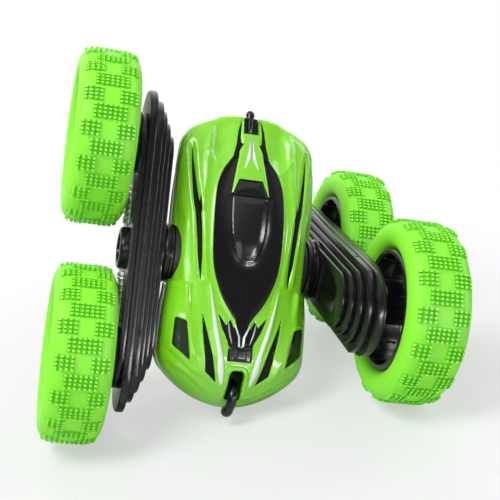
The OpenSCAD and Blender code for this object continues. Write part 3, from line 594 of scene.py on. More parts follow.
# the first word found in a node's name decides its slot
SLOT_WORDS = (
    ("lens", "lens_clear"), ("leds", "led_white"), ("board", "board_green"),
    ("battery_pack", "battery_wrap"), ("pinion", "pinion_brass"), ("bushes", "bush_brass"),
    ("screw", "screw_steel"), ("wiring", "wire_red"), ("shaft", "shaft_steel"),
    ("gear", "gear_plastic"), ("tyre", "tyre_green"), ("rim", "rim_black"),
    ("shock", "shock_silver"), ("motor", "motor_steel"), ("chassis", "chassis_grey"),
    ("peg", "black_detail"), ("switch", "black_detail"), ("canopy", "canopy_black"),
    ("hub_cap", "arm_black"), ("arm_", "arm_black"),
)


def slot_of(name):
    if RECORD_SLOTS.get(name) in CAD_MATERIALS:
        return RECORD_SLOTS[name]
    return next((slot for word, slot in SLOT_WORDS if word in name), "green_shell")


for cad_name, cad_item in CAD["nodes"].items():
    cad_item.data.materials.clear()
    cad_item.data.materials.append(CAD_MATERIALS[slot_of(cad_name)])

# ------------------------------------------------------------------ body form
# (y, half width) and (y, height over the parting plane), nose to tail
HALF_WIDTHS = [
    (-67.55, 2.2), (-67.3, 4), (-66.3, 9), (-64.5, 14), (-62, 19), (-58.5, 24.2), (-54.5, 28.8),
    (-50, 32.4), (-44, 34), (-37, 34), (-25, 33.7), (-13, 32.7), (0, 32.8), (20, 33), (39, 33),
    (52, 32.2), (58, 29), (61.5, 24.4), (64.5, 18), (66.9, 12), (67.3, 8.5)]
HEIGHTS = [
    (-67.55, 6.2), (-67.3, 8), (-66.3, 11), (-64.5, 14.2), (-62, 17.4), (-58.5, 20.6),
    (-54.5, 23.2), (-50, 24.9), (-44, 25.8), (-37, 25.6), (-25, 24.8), (-13, 23.6), (0, 22.4),
    (10, 21.3), (20, 19.5), (30, 16.8), (40, 13.6), (50, 10.2), (58, 7.4), (63, 5.6),
    (66.9, 4.4), (67.3, 3.4)]
UPPER, LOWER = 1.0, 0.84  # each shell's depth as a share of HEIGHTS
WIDTH_POWER, HEIGHT_POWER = 3.4, 2.6  # superellipse powers of the cross section
WALL = 1.7
PARTING = 0.06  # half the gap between the shells


def monotone_curve(table):
    """Cubic through (y, value) points that never overshoots them."""
    stations, values = np.array(table, float).T
    steps = np.diff(stations)
    slopes = np.diff(values) / steps
    tangents = np.zeros(len(stations))
    for i in range(1, len(stations) - 1):
        if slopes[i - 1] * slopes[i] > 0:
            before, after = 2 * steps[i] + steps[i - 1], steps[i] + 2 * steps[i - 1]
            tangents[i] = (before + after) / (before / slopes[i - 1] + after / slopes[i])
    tangents[0], tangents[-1] = slopes[0], slopes[-1]

    def value_at(y):
        y = np.clip(np.asarray(y, float), stations[0], stations[-1])
        i = np.clip(np.searchsorted(stations, y) - 1, 0, len(stations) - 2)
        t = (y - stations[i]) / steps[i]
        return ((2 * t ** 3 - 3 * t ** 2 + 1) * values[i]
                + (t ** 3 - 2 * t ** 2 + t) * steps[i] * tangents[i]
                + (-2 * t ** 3 + 3 * t ** 2) * values[i + 1]
                + (t ** 3 - t ** 2) * steps[i] * tangents[i + 1])
    return value_at


half_width = monotone_curve(HALF_WIDTHS)
full_height = monotone_curve(HEIGHTS)


def depth_at(y, depth):
    """Share of the full height; the lower shell flattens towards the nose."""
    y = np.asarray(y, float)
    if depth >= UPPER:
        return np.ones_like(y)
    return depth * (1 - 0.7 * np.clip((-48 - y) / 17, 0, 1))


def plain_z(x, y, depth=UPPER):
    """Height of the body without its relief."""
    reach = np.minimum(1, np.abs(x) / half_width(y))
    section = np.maximum(0, 1 - reach ** WIDTH_POWER) ** (1 / HEIGHT_POWER)
    return depth_at(y, depth) * full_height(y) * section


# ------------------------------------------------------------------ shaping helpers
def line_distance(x, y, line, closed=False):
    """Distance from points to a polyline."""
    points = np.stack([x, y], -1)
    line = np.array(line, float)
    if closed:
        line = np.vstack([line, line[:1]])
    nearest = np.full(points.shape[:-1], 1e9)
    for start, end in zip(line[:-1], line[1:]):
        run = end - start
        t = np.clip(((points - start) @ run) / max(run @ run, 1e-12), 0, 1)
        distance = np.linalg.norm(points - (start + t[..., None] * run), axis=-1)
        nearest = np.minimum(nearest, distance)
    return nearest


def inside(x, y, outline):
    outline = np.array(outline, float)
    result = np.zeros(x.shape, bool)
    for (x1, y1), (x2, y2) in zip(outline, np.roll(outline, -1, 0)):
        crosses = (y1 > y) != (y2 > y)
        with np.errstate(divide="ignore", invalid="ignore"):
            crossing = (x2 - x1) * (y - y1) / (y2 - y1) + x1
        result ^= crosses & (x < crossing)
    return result


def smooth(t):
    """Smooth step from 0 to 1."""
    t = np.clip(t, 0, 1)
    return t * t * (3 - 2 * t)


def window(y, start, rise, end, fall):
    """1 between start and end, fading inwards from them over rise and fall."""
    return smooth((y - start) / rise) * smooth((end - y) / fall)


def bell(value, centre, width):
    return np.exp(-((value - centre) / width) ** 2)


def lookup(value, table):
    return np.interp(value, *zip(*table))


def box_distance(x, y, half_x, half_y):
    """Roughly how far a point is outside a centred rectangle; negative inside."""
    return np.maximum(np.abs(x) - half_x, np.abs(y) - half_y)


def sunk(x, y, outline, depth, blend, bias):
    """Depth of a panel sunk inside an outline, with walls that slope over blend."""
    distance = line_distance(x, y, outline, closed=True)
    signed = np.where(inside(x, y, outline), distance, -distance)
    return depth * smooth(signed / blend + bias)


# ------------------------------------------------------------------ body outlines
# all as (|x|, y), one side of the middle plane
COCKPIT = spline([(0.0, -39.6), (1.5, -38.4), (2.4, -31.8), (3.9, -28.2), (5.8, -25.4),
                  (9.2, -20.4), (12, -14.6), (14.2, -8.3), (15.4, -2), (16.0, 6), (16.2, 17.3),
                  (15.9, 26.2), (15.1, 33.3), (13.2, 39.2), (10.9, 43.2), (8.7, 46.4)], 1.2)
TONGUE = spline([(5.8, 46.4), (6.6, 42), (7.6, 36), (8.8, 28.8)], 1.5)
HOLE_SIDE = np.vstack([COCKPIT[1:], TONGUE, [(8.2, 29.2), (5.5, 36.1)]])
HOLE = np.vstack([COCKPIT[:1], HOLE_SIDE, HOLE_SIDE[::-1] * (-1, 1)])
SLIT = spline([(27.2, 53), (26.6, 43), (24.7, 27), (23.0, 18), (21.8, 7.4), (21, -1),
               (20.4, -6), (19.8, -12)], 2)
REAR_RIDGE = spline([(17.6, 60), (19.2, 54), (19.9, 46), (20.5, 33), (21.0, 27), (21.2, 20)], 2)
SHORT_RIDGE = spline([(19.6, 47.6), (17.2, 43.5), (14.6, 40.6)], 1)
FENDER_CREST = spline([(29.2, 50), (30.2, 40), (30.0, 20), (28.9, 0.7), (27.4, -6.6), (25.4, -17),
                       (23.0, -28), (20.7, -41), (17.6, -50), (14.3, -57.5)], 2)
HOOD_RIDGE = spline([(15.8, -12), (13.9, -24), (11.9, -33.5), (9.3, -42.3), (7.6, -50.5),
                     (5.9, -58)], 1.5)
WEDGE = [(18.0, -26.0), (17.0, -35), (15.5, -43), (14.2, -51.7), (8.9, -56.0), (10.5, -50.5),
         (12.0, -44.5), (15.6, -33.5)]
VEE = [(11.3, -25.6), (7.2, -31.0), (5.5, -28.2), (3.5, -32.3), (2.2, -38.3), (5.5, -39.6),
       (5.8, -38.2), (8.8, -32.6)]
HEADLIGHT = [(24.2, -30.4), (29.3, -28.9), (29.5, -41.4), (21.4, -47.6)]
HEADLIGHT_OPENING = rounded(HEADLIGHT, 1.2)
FACET_LINE = [(0, -66), (8.7, -58.4), (14.2, -53.9), (19.8, -51.6), (29.6, -43.4),
              (31.5, -41.8), (34.5, -40.5)]
BUMPER_LINE = [(0, -63.8), (7.2, -62.4), (14.1, -59.2), (19.4, -54.8), (28.5, -49.4),
               (31.2, -48.0), (34.5, -45.6)]
FRONT_SLOT_EDGE = [(3.6, -66), (3.6, -51.8), (2.4, -50.1), (0, -50.1)]
# (y, half width) of the raised tongue behind the canopy
TONGUE_WIDTHS = [(28.7, 8.8), (36, 7.6), (42, 6.6), (46.4, 5.8), (49.5, 5.5), (53, 4.3),
                 (58, 5.0), (66, 4.3)]
# line, height, half width, sharpness, window along Y
RIDGES = (
    (FENDER_CREST, 0.65, 3.2, 1.4, (-60, 8, 52, 14)),
    (REAR_RIDGE, 0.75, 2.6, 1.3, (17, 8, 64, 8)),
    (SHORT_RIDGE, 0.4, 1.4, 1.3, (-99, 1, 99, 1)),
    (HOOD_RIDGE, 0.6, 2.2, 1.2, (-64, 6, -11, 6)),
)


# ------------------------------------------------------------------ body relief
def upper_relief(side, y):
    """Relief found on the upper shell only."""
    # frame round the headlight
    height = 0.55 * bell(line_distance(side, y, HEADLIGHT, closed=True), 0.5, 0.9)
    # rim of the cockpit
    height += 0.45 * bell(line_distance(side, y, COCKPIT), 0, 0.9) * smooth((46 - y) / 6)
    # raised tongue
    tongue = smooth((lookup(y, TONGUE_WIDTHS) - side) / 0.7) * smooth((y - 27) / 3)
    height += 0.75 * tongue * (1 - 0.45 * (side / 9) ** 2)
    # dished panel beside the tongue
    dish = np.sin(math.pi * np.clip((side - 7.5) / 11.0, 0, 1) ** 1.3)
    height -= 1.5 * dish * window(y, 40, 9, 67, 9)
    # frame round the front slot
    height += 0.7 * bell(line_distance(side, y, FRONT_SLOT_EDGE), 0.7, 0.8)
    # notches that flank the cockpit's front tip
    return height - sunk(side, y, VEE, depth=0.55, blend=0.5, bias=0.4)


def lower_relief(side, y):
    """Relief found on the lower shell only: two raised panels, the rear one with grooves."""
    height = 0.5 * smooth(-box_distance(side, y + 22.5, 22.6, 27.1) / 0.9)
    height += 0.6 * smooth(-box_distance(side, y - 38.25, 15.5, 17.75) / 1.0)
    for groove_y in (26, 31, 36, 41, 46, 51):
        half_length = 11.5 - 0.1 * (groove_y - 26)
        height -= 0.9 * smooth(-box_distance(side, y - groove_y, half_length, 0.9) / 0.5)
    return height


def relief(x, y, depth):
    """Height added to the body's plain surface by its ridges, grooves and panels."""
    x, y = np.broadcast_arrays(np.asarray(x, float), np.asarray(y, float))
    side = np.abs(x)
    # long slit beside the cockpit, with a raised lip
    distance = line_distance(side, y, SLIT)
    ends = window(y, -13, 5, 55, 8)
    height = ends * (0.4 * bell(distance, 2.5, 0.9) - 1.1 * smooth(1 - distance / 1.6))
    for line, rise, width, power, span in RIDGES:
        ridge = np.maximum(0, 1 - line_distance(side, y, line) / width) ** power
        height += rise * window(y, *span) * ridge
    # trough outside the rear ridge
    trough = np.sin(math.pi * np.clip((side - 27.2) / 5.5, 0, 1))
    height -= 0.6 * trough * window(y, 30, 14, 62, 8)
    # the front fender stands proud of the waist
    height += 1.5 * window(y, -54, 14, -12.6, 2.6) * smooth((side - 22.5) / 3.4)
    # facet between the headlight's frame and the bumper
    facet = smooth((lookup(side, FACET_LINE) - y) / 1.2)
    height -= 1.05 * facet * smooth((side - 7) / 4)
    # step down to the bumper, with a lip
    behind = y - lookup(side, BUMPER_LINE)
    height -= 0.75 * smooth(-behind / 0.9)
    height += 0.25 * bell(behind, 0.6, 0.7) * smooth((y + 66) / 3)
    height -= sunk(side, y, WEDGE, depth=0.9, blend=0.8, bias=0.35)
    return height + (upper_relief if depth >= UPPER else lower_relief)(side, y)


def faded_relief(x, y, depth):
    """Relief that dies out towards the body's side."""
    return smooth((0.975 - np.abs(x) / half_width(y)) / 0.10) * relief(x, y, depth)


def surface_z(x, y, depth=UPPER):
    """Height of the finished surface."""
    return plain_z(x, y, depth) + faded_relief(x, y, depth)


def side_inset(y, z, depth):
    """How far the body's side is pulled in, for its skirt line and waist."""
    pull = 0.45 * smooth((6.2 * depth - z) / 0.8) - 0.25 * bell(z, 6.6 * depth, 0.8)
    pull += 1.5 * window(y, -13.6, 1.6, 26, 12) * smooth((z - 5.5 * depth) / 3)
    return pull + 0.35 * smooth((0.7 - z) / 0.5)


# ------------------------------------------------------------------ body solids
def section_angles(count):
    """Superellipse parameters at even arc lengths of a typical half section."""
    angles = np.linspace(0, math.pi / 2, 4000)
    x = 33 * np.cos(angles) ** (2 / WIDTH_POWER)
    z = 22 * np.sin(angles) ** (2 / HEIGHT_POWER)
    lengths = np.concatenate([[0], np.cumsum(np.hypot(np.diff(x), np.diff(z)))])
    return np.interp(np.linspace(0, lengths[-1], count), lengths, angles)


def body_rows(stations, columns, size_at):
    """Cross sections at the stations; size_at(y) gives half width and height."""
    angles = section_angles(columns)
    angles = np.concatenate([angles, math.pi - angles[-2::-1]])
    cosines = np.maximum(np.cos(np.minimum(angles, math.pi - angles)), 0)
    signs = np.where(angles > math.pi / 2, -1, 1)
    rows = []
    for y in stations:
        width, height = size_at(y)
        x = width * cosines ** (2 / WIDTH_POWER) * signs
        z = height * np.sin(angles) ** (2 / HEIGHT_POWER)
        rows.append(np.stack([x, np.full_like(x, y), z], -1))
    return np.array(rows)


def close_rows(rows):
    count, size = rows.shape[:2]
    faces = bands(rows)
    faces.append(tuple(range(size)))
    faces.append(tuple((count - 1) * size + j for j in range(size - 1, -1, -1)))
    return fix_normals((rows.reshape(-1, 3), faces))


def outer_body(depth, stations, columns):
    def size_at(y):
        return float(half_width(y)), float(depth_at(y, depth) * full_height(y))

    rows = body_rows(stations, columns, size_at)
    x, y, z = rows[..., 0], rows[..., 1], rows[..., 2]
    lift = faded_relief(x, y, depth)
    near_side = smooth((np.abs(x) / half_width(y) - 0.82) / 0.12)
    pull = side_inset(y, z, depth) * near_side * window(y, -58, 10, 60, 8)
    rows[..., 0] = x - np.sign(x) * pull
    rows[..., 2] = z + lift
    rows[:, [0, -1], 2] = PARTING
    rows[..., 2] = np.maximum(rows[..., 2], PARTING)
    return close_rows(rows)


INNER_STATIONS = np.concatenate([[-65.6, -64.8, -63.4, -61, -57.8, -54], np.arange(-50, 52, 4.0),
                                 [55, 58, 60.8, 63.4, 65.2]])


def inner_body(depth):
    """The hollow: the body shrunk by its wall, reaching below the parting plane."""
    def size_at(y):
        width = min(half_width(y - 1.5), half_width(y + 1.5)) - WALL
        height = min(full_height(y - 1.5), full_height(y + 1.5))
        height = float(depth_at(y - 1, depth) * height) - WALL - 0.4
        return max(float(width), 1.5), max(height, 1.0)

    rows = body_rows(INNER_STATIONS, 26, size_at)
    rows[:, [0, -1], 2] = -1.0
    return close_rows(rows)


def grid_fill(outline, step):
    """Fills an outline with faces cut along a square grid; also gives its boundary edges."""
    mesh = bmesh.new()
    mesh.faces.new([mesh.verts.new((a, b, 0)) for a, b in outline])
    bmesh.ops.triangulate(mesh, faces=mesh.faces[:])
    for axis, column in enumerate(np.array(outline, float).T):
        low, high = column.min(), column.max()
        normal = (1, 0, 0) if axis == 0 else (0, 1, 0)
        for place in np.arange(math.floor(low / step) * step, high, step):
            if low + 1e-4 < place < high - 1e-4:
                point = (place, 0, 0) if axis == 0 else (0, place, 0)
                bmesh.ops.bisect_plane(mesh, geom=mesh.verts[:] + mesh.edges[:] + mesh.faces[:],
                                       dist=1e-5, plane_co=point, plane_no=normal)
    bmesh.ops.remove_doubles(mesh, verts=mesh.verts[:], dist=1e-4)
    mesh.verts.index_update()
    for face in mesh.faces:
        face.normal_update()
        if face.normal.z < 0:
            face.normal_flip()
    vertices = np.array([vertex.co[:2] for vertex in mesh.verts])
    faces = [tuple(vertex.index for vertex in face.verts) for face in mesh.faces]
    edges = [(loop.vert.index, loop.link_loop_next.vert.index)
             for face in mesh.faces for loop in face.loops if loop.edge.is_boundary]
    mesh.free()
    return vertices, faces, edges


def draped(outline, top, bottom, step):
    """A closed solid over an outline, between two height functions of (x, y)."""
    flat, faces, edges = grid_fill(outline, step)
    count = len(flat)
    x, y = flat[:, 0], flat[:, 1]
    vertices = np.vstack([np.column_stack([flat, level(x, y)]) for level in (top, bottom)])
    under = [tuple(i + count for i in reversed(face)) for face in faces]
    walls = [(a + count, b + count, b, a) for a, b in edges]
    return vertices, faces + under + walls


# ------------------------------------------------------------------ shells
FRONT_SLOT = [(-3.5, -63.4), (3.5, -63.4), (3.5, -51.8), (2.4, -50.2), (-2.4, -50.2),
              (-3.5, -51.8)]
PIVOT_HOLES = merge(rod(14.3, 25.5, 40, sides=96), rod(14.3, -40, -25.5, sides=96))
TAIL_NOTCH = prism(rectangle(-3.8, 3.8, 58.6, 72), -5, 20)
COVER_GAP = 0.25
COVER_HALF_WIDTH, COVER_FRONT, COVER_BACK = 20, -47, 2
SCREW_WELLS = ((27.5, -20), (21, 44))


def upper_shell():
    stations = np.concatenate([np.linspace(-67.55, -62, 22), np.arange(-61.6, 60, 0.5),
                               np.linspace(60.2, 67.3, 22)])
    shell = cut(outer_body(UPPER, stations, 108), inner_body(UPPER))
    return cut(shell, prism(HOLE, 5, 40), PIVOT_HOLES, TAIL_NOTCH,
               prism(rounded(FRONT_SLOT, 1.0), 0.5, 40),
               both_sides(prism(HEADLIGHT_OPENING, 6, 40)))


def lower_shell():
    """Built pointing up, like the upper shell."""
    stations = np.concatenate([np.linspace(-67.3, -62, 16), np.arange(-61.4, 60, 0.65),
                               np.linspace(60.3, 67.3, 16)])
    shell = cut(outer_body(LOWER, stations, 84), inner_body(LOWER))
    half = COVER_HALF_WIDTH + COVER_GAP
    opening = rectangle(-half, half, COVER_FRONT - COVER_GAP, COVER_BACK + COVER_GAP)
    switch_opening = rectangle(6.2, 9.8, 7.6, 14.6)
    wells = [prism(circle(2.5, side * x, y), 5, 40) for side in (-1, 1) for x, y in SCREW_WELLS]
    return cut(shell, PIVOT_HOLES, TAIL_NOTCH, prism(rounded(opening, 0.6), 8, 40),
               prism(switch_opening, 10, 40), *wells)


def battery_cover():
    """Built pointing up: grip ribs at the front, two sunk panels and a screw recess."""
    outline = rounded(rectangle(-COVER_HALF_WIDTH, COVER_HALF_WIDTH, COVER_FRONT, COVER_BACK),
                      0.8)

    def top(x, y):
        z = surface_z(x, y, LOWER) + 0.02
        z -= 0.35 * smooth(1 - line_distance(x, y, outline, closed=True) / 0.7)
        for i in range(6):
            z += 0.4 * smooth(-box_distance(x, y + 44 - 2.6 * i, 9 - 0.6 * i, 0.55) / 0.4)
        return z - 0.35 * smooth(-box_distance(np.abs(x) - 14, y + 20, 2.2, 13) / 0.5)

    cover = draped(outline, top, lambda x, y: plain_z(x, y, LOWER) - 1.55, 0.9)
    return cut(cover, prism(circle(2.5, 0, -1.5), 17.9, 40),
               prism(circle(1.25, 0, -1.5, sides=24), 5, 40))


piece("upper_shell_skin", upper_shell(), GREEN, 40, replaces=["upper_shell"])
piece("lower_shell_skin", mirror(lower_shell(), axis=2), GREEN, 40,
      replaces=["lower_shell"])
piece("battery_cover_skin", mirror(battery_cover(), axis=2), GREEN, 40,
      rides="battery_cover", replaces=["battery_cover"])

# ------------------------------------------------------------------ cockpit
CANOPY_SIDE = spline([(8.55, 27.9), (8.6, 21), (8.35, 14), (7.7, 9), (6.7, 5), (5.2, 1.3),
                      (3.0, -1.6), (0, -2.6)], 0.9)
CANOPY = np.vstack([CANOPY_SIDE, CANOPY_SIDE[-2::-1] * (-1, 1)])
REAR_WINDOW = rounded([(8.2, 28.5), (5.3, 35.7), (-5.3, 35.7), (-8.2, 28.5)], 0.6)


def surround_z(x, y):
    """Top of the dished panel round the canopy."""
    edge = line_distance(x, y, HOLE, closed=True)
    canopy = np.where(inside(x, y, CANOPY), 0, line_distance(x, y, CANOPY, closed=True))
    z = plain_z(x, y) - 0.25
    z -= 0.95 * (1 - np.exp(-edge / 2.2)) * (1 - 0.75 * np.exp(-canopy / 1.6))
    # folded ridge from the canopy to the front tip
    return z + 0.5 * np.maximum(0, 1 - np.abs(x) / 2.8) * smooth((-6 - y) / 12)


def glass(outline, rise, edge):
    """A domed pane; its border curves up over edge, less so towards the front."""
    def top(x, y):
        distance = line_distance(x, y, outline, closed=True)
        t = np.clip(distance / edge, 0, 1)
        front = 0.3 + 0.7 * smooth((y + 1.5) / 10)
        crown = 0.9 * front * np.maximum(0, 1 - (x / 8.6) ** 2) * smooth(distance / 3.5)
        border = front * rise * np.sqrt(np.maximum(0, 1 - (1 - t) ** 2))
        return surround_z(x, y) + 0.15 + border + crown
    return draped(outline, top, lambda x, y: surround_z(x, y) - 0.3, 0.7)


surround = draped(inset(HOLE, 0.07), surround_z, lambda x, y: plain_z(x, y) - 2.3, 0.75)
piece("cockpit_surround", surround, BLACK_GLOSS, 42, replaces=["upper_canopy"])
panes = merge(glass(CANOPY, rise=0.9, edge=1.5), glass(REAR_WINDOW, rise=0.75, edge=0.9))
piece("canopy_glass", panes, CANOPY_SMOKE, 42)

# ------------------------------------------------------------------ printed trim
# outlines as (x, y); all but SPINE are printed on both sides
FLANK = [(4.5, 66.3), (6.1, 60.5), (7.0, 53), (8.6, 46.2), (5.8, 46.2), (5.6, 49.3),
         (3.7, 53.4), (5.0, 54.2), (5.1, 58.5)]
SLIT_BARB = [(22.5, 26.8), (23.0, 22.0), (23.4, 15.0), (22.0, 15.5), (21.6, 20.0)]
COCKPIT_TIP = [(1.1, -40.1), (5.3, -40.1), (5.45, -38.0), (4.6, -35.5), (3.9, -32.6),
               (3.3, -31.0), (2.4, -32.8), (1.5, -36)]
HOOD_STRIPE = np.vstack([
    spline([(15.9, -12.8), (14.2, -24), (12.5, -33.5), (10.2, -42.0), (9.0, -50.5),
            (6.7, -57.2)], 2),
    spline([(5.9, -56), (6.6, -49.5), (8.3, -42), (11.2, -31.8), (13.4, -23)], 2)])
CHEVRON = [(0.62, 46.6), (2.1, 42.9), (3.4, 40.9), (1.3, 50.2), (0.62, 55.5)]
SPINE = [(-0.55, 46.2), (0.55, 46.2), (0.5, 56.4), (0.0, 57.6), (-0.5, 56.4)]
TIP_BRANCH = [(0.5, -39.5), (1.35, -39.5), (1.55, -35.6), (3.7, -30.2), (3.0, -30.8),
              (0.75, -35.4)]
TIP_LINE = spline([(6.3, -28.6), (5.5, -33.6), (3.9, -38.9)], 1)
# (share of the line's points, width)
SLIT_WIDTHS = [(0, 0.25), (0.18, 1.3), (0.43, 2.4), (0.6, 2.3), (0.8, 1.9), (1, 0.12)]
TIP_LINE_WIDTHS = [(0, 0), (0.3, 0.55), (0.7, 0.55), (1, 0)]
LEAST_WIDTH = 0.12


def ribbon(line, widths):
    """Outline of a band that tapers along a line."""
    tangents = np.gradient(line, axis=0)
    tangents /= np.linalg.norm(tangents, axis=1)[:, None]
    normals = np.stack([-tangents[:, 1], tangents[:, 0]], -1)
    width = np.maximum(LEAST_WIDTH, lookup(np.linspace(0, 1, len(line)), widths))[:, None]
    return np.vstack([line + normals * width / 2, (line - normals * width / 2)[::-1]])


def decal(outline, lift=0.09):
    """A thin print whose top stands lift above the upper shell."""
    return draped(outline, lambda x, y: surface_z(x, y) + lift,
                  lambda x, y: surface_z(x, y) + lift - 0.16, 0.45)


slit_band = ribbon(SLIT[SLIT[:, 1] < 50], SLIT_WIDTHS)
black_prints = merge(decal(slit_band), decal(WEDGE), decal(VEE), decal(FLANK),
                     decal(SLIT_BARB, lift=0.095), decal(COCKPIT_TIP, lift=0.13))
piece("black_trim", both_sides(black_prints), BLACK_PRINT, 50)
silver_prints = merge(decal(HOOD_STRIPE), decal(CHEVRON))
piece("silver_trim", both_sides(silver_prints), SILVER_PRINT, 50)
tip_lines = both_sides(decal(ribbon(TIP_LINE, TIP_LINE_WIDTHS), lift=0.17))
piece("grey_trim", merge(decal(SPINE), tip_lines), GREY_PRINT, 50)
branch = draped(TIP_BRANCH, lambda x, y: surface_z(x, y) + 0.3,
                lambda x, y: surface_z(x, y) - 0.8, 0.7)
piece("tip_trim", both_sides(branch), SILVER_PRINT, 50)

# block in front of the cockpit's tip
BLOCK = rounded([(-5.6, -46.3), (5.6, -46.3), (5.4, -39.7), (-5.4, -39.7)], 0.7)


def block_z(x, y):
    distance = line_distance(x, y, BLOCK, closed=True)
    z = plain_z(x, y) + 0.15 + 0.85 * smooth(distance / 0.9)
    return z + 0.35 * smooth((2.6 - np.abs(x - 0.2)) / 0.5) * smooth(distance / 1.4)


block = draped(BLOCK, block_z, lambda x, y: plain_z(x, y) - 0.9, 0.7)
piece("intake_block", block, DETAIL_BLACK, 42)

# ------------------------------------------------------------------ headlights
# (height from the bowl's rim, inset from it): down the inside, up the outside
BOWL = [(0.0, 0.0), (-2.0, 0.5), (-4.0, 1.1), (-5.6, 1.9), (-6.3, 1.9), (-4.2, 0.75),
        (-2.0, 0.25), (0.0, -0.3)]
# (radius, z) round the reflector's wall
REFLECTOR = [(2.7, 10.2), (3.0, 11.6), (3.6, 13.4), (4.1, 14.6), (4.35, 14.6), (3.85, 13.3),
             (3.25, 11.5), (2.95, 10.0)]
REFLECTOR_X, REFLECTOR_Y = 23.6, -38


def headlight_bowl():
    rim = inset(HEADLIGHT_OPENING, 0.35)
    rings = []
    for height, distance in BOWL:
        ring = inset(rim, distance)
        z = plain_z(ring[:, 0], ring[:, 1]) - 1.3 + height
        rings.append(np.column_stack([ring, z]))
    return skin(rings, wrap=True)


def reflector():
    """A cup, slightly narrower in X than in Y."""
    return skin([[(REFLECTOR_X + 0.9 * a, REFLECTOR_Y + b, z)
                  for a, b in circle(radius, sides=40)] for radius, z in REFLECTOR], wrap=True)


lens = draped(inset(HEADLIGHT_OPENING, 0.12),
              lambda x, y: plain_z(x, y) + 0.15 * bell(x, 26, 3) - 0.1,
              lambda x, y: plain_z(x, y) - 1.0, 0.9)
for lens_side, lens_part in (("right", lens), ("left", mirror(lens))):
    piece(f"{lens_side}_lens_glass", lens_part, LENS, 42,
          replaces=[f"{lens_side}_headlight_lens"])
piece("headlight_bowls", both_sides(headlight_bowl()), BLACK_GLOSS, 42)
piece("headlight_reflectors", both_sides(reflector()), CHROME, 42)

# ------------------------------------------------------------------ pegs
FRONT_PEG = spline([(0, -56.5, 0.2), (0, -56.5, 8), (0, -56.6, 14.5), (0, -57.6, 17.2),
                    (0, -59.6, 19.0), (-0.1, -61.8, 19.9), (-0.3, -64.2, 19.3),
                    (-0.6, -66.4, 17.9), (-0.9, -67.8, 16.2), (-1.1, -68.6, 14.6)], 0.6)
REAR_PEG = spline([(0, 62.5, 1.6), (0, 66, 1.5), (0, 68.0, 1.1), (0, 69.3, 0.5)], 0.5)
FRONT_PEG_RADIUS = 2.15
FRONT_PEG_TIP = 3.4  # length of the swelling at the tip


def front_peg():
    """A rod that rises through the front slot and hooks over the nose."""
    radii = []
    for point in FRONT_PEG:
        radius = FRONT_PEG_RADIUS
        from_tip = np.linalg.norm(point - FRONT_PEG[-1])
        if from_tip < FRONT_PEG_TIP:
            radius += 0.42 * math.sin(math.pi * (1 - from_tip / FRONT_PEG_TIP) * 0.62)
        elif point[1] > -58:
            radius += 0.2 * smooth((16 - point[2]) / 3)
        radii.append(radius)
    return tube(FRONT_PEG, radii)


def rear_peg():
    """A block in the tail notch, with a short rod behind, a stem in front and a fin on top."""
    base = plate(rounded(rectangle(-3.35, 3.35, 59.0, 67.2), 0.8), -3.2, 3.2, 0.45, axis="z")
    peg = tube(REAR_PEG, [1.75 + 0.3 * smooth((point[1] - 67.4) / 1.6) for point in REAR_PEG])
    stem = skin([[(x, y, z) for x, z in circle(1.5, sides=24)] for y in (46.1, 60)])
    fin = plate(rounded(rectangle(-1.1, 1.1, 59.5, 66.6), 0.4), 2.6, 4.1, 0.35, axis="z")
    return join(base, peg, stem, fin)


piece("front_peg_rod", front_peg(), DETAIL_BLACK, 60, replaces=["front_peg"])
piece("rear_peg_block", rear_peg(), DETAIL_BLACK, 50, replaces=["rear_peg"])

# ------------------------------------------------------------------ swing arms
AXLE_Y = 49.0
AXLE_HOLE = 3.05
PIVOT_SCREW = 2.05
# x from, x to, half length, half height, half length of the straight edge
INNER_LAYERS = [(36, 38.2, 53.7, 12.6, 36), (38.2, 40.4, 59.4, 14.3, 39.5),
                (40.4, 42.6, 64.6, 16.5, 43), (42.6, 45.6, 69, 18.9, 49)]
OUTER_LAYERS = [(45.65, 49.1, 73.6, 19.2, 49), (49.1, 51.6, 63, 18.4, 42)]
# closed profiles of (radius, x)
COLLAR = [(8.0, 31.2), (12.9, 31.2), (13.5, 31.7), (13.5, 32.6), (13.0, 32.9), (13.0, 33.5),
          (13.5, 33.8), (13.5, 34.8), (13.2, 35.2), (14.3, 36.2), (14.3, 37.0), (8.0, 37.0)]
SPIGOT = [(6.5, 26.4), (9.6, 26.4), (10.0, 26.6), (10, 27.3), (9, 27.45), (9, 32), (6.5, 32)]
AXLE_BOSS = [(AXLE_HOLE, 48.9), (13.5, 48.9), (13.5, 53.3), (12.9, 53.9), (11.6, 53.9),
             (11.3, 53.5), (9.2, 53.5), (8.9, 54.4), (AXLE_HOLE, 54.4)]
# open profile of (radius, x)
HUB_CAP = [(9.7, 50.6), (9.7, 53.7), (9.45, 54.3), (8.7, 54.95), (7.5, 55.1), (6.7, 54.95),
           (6.2, 54.0), (2.6, 54.0), (2.4, 54.35)]


def arm_ring(half_length, half_height, straight=AXLE_Y):
    """Arm outline in Y, Z: straight edges turn a soft corner into bowed ends."""
    corner = straight + (half_length - straight) * 0.36
    sagitta = half_length - corner
    radius = (half_height ** 2 + sagitta ** 2) / (2 * sagitta)
    sweep = math.asin(min(1.0, half_height / radius))
    share = (corner - straight) / (half_length - straight)
    end = []
    for t in np.linspace(-sweep, sweep, 33):
        bow = (radius * math.cos(t) - (radius - sagitta)) / sagitta
        end.append((share + (1 - share) * bow, radius * math.sin(t) / half_height))
    reach = half_length - straight
    edge = np.linspace(straight, -straight, 15)[1:-1]
    ring = [(straight + reach * a, half_height * b) for a, b in end]
    ring += [(y, half_height) for y in edge]
    ring += [(-straight - reach * a, half_height * b) for a, b in reversed(end)]
    return ring + [(y, -half_height) for y in edge[::-1]]


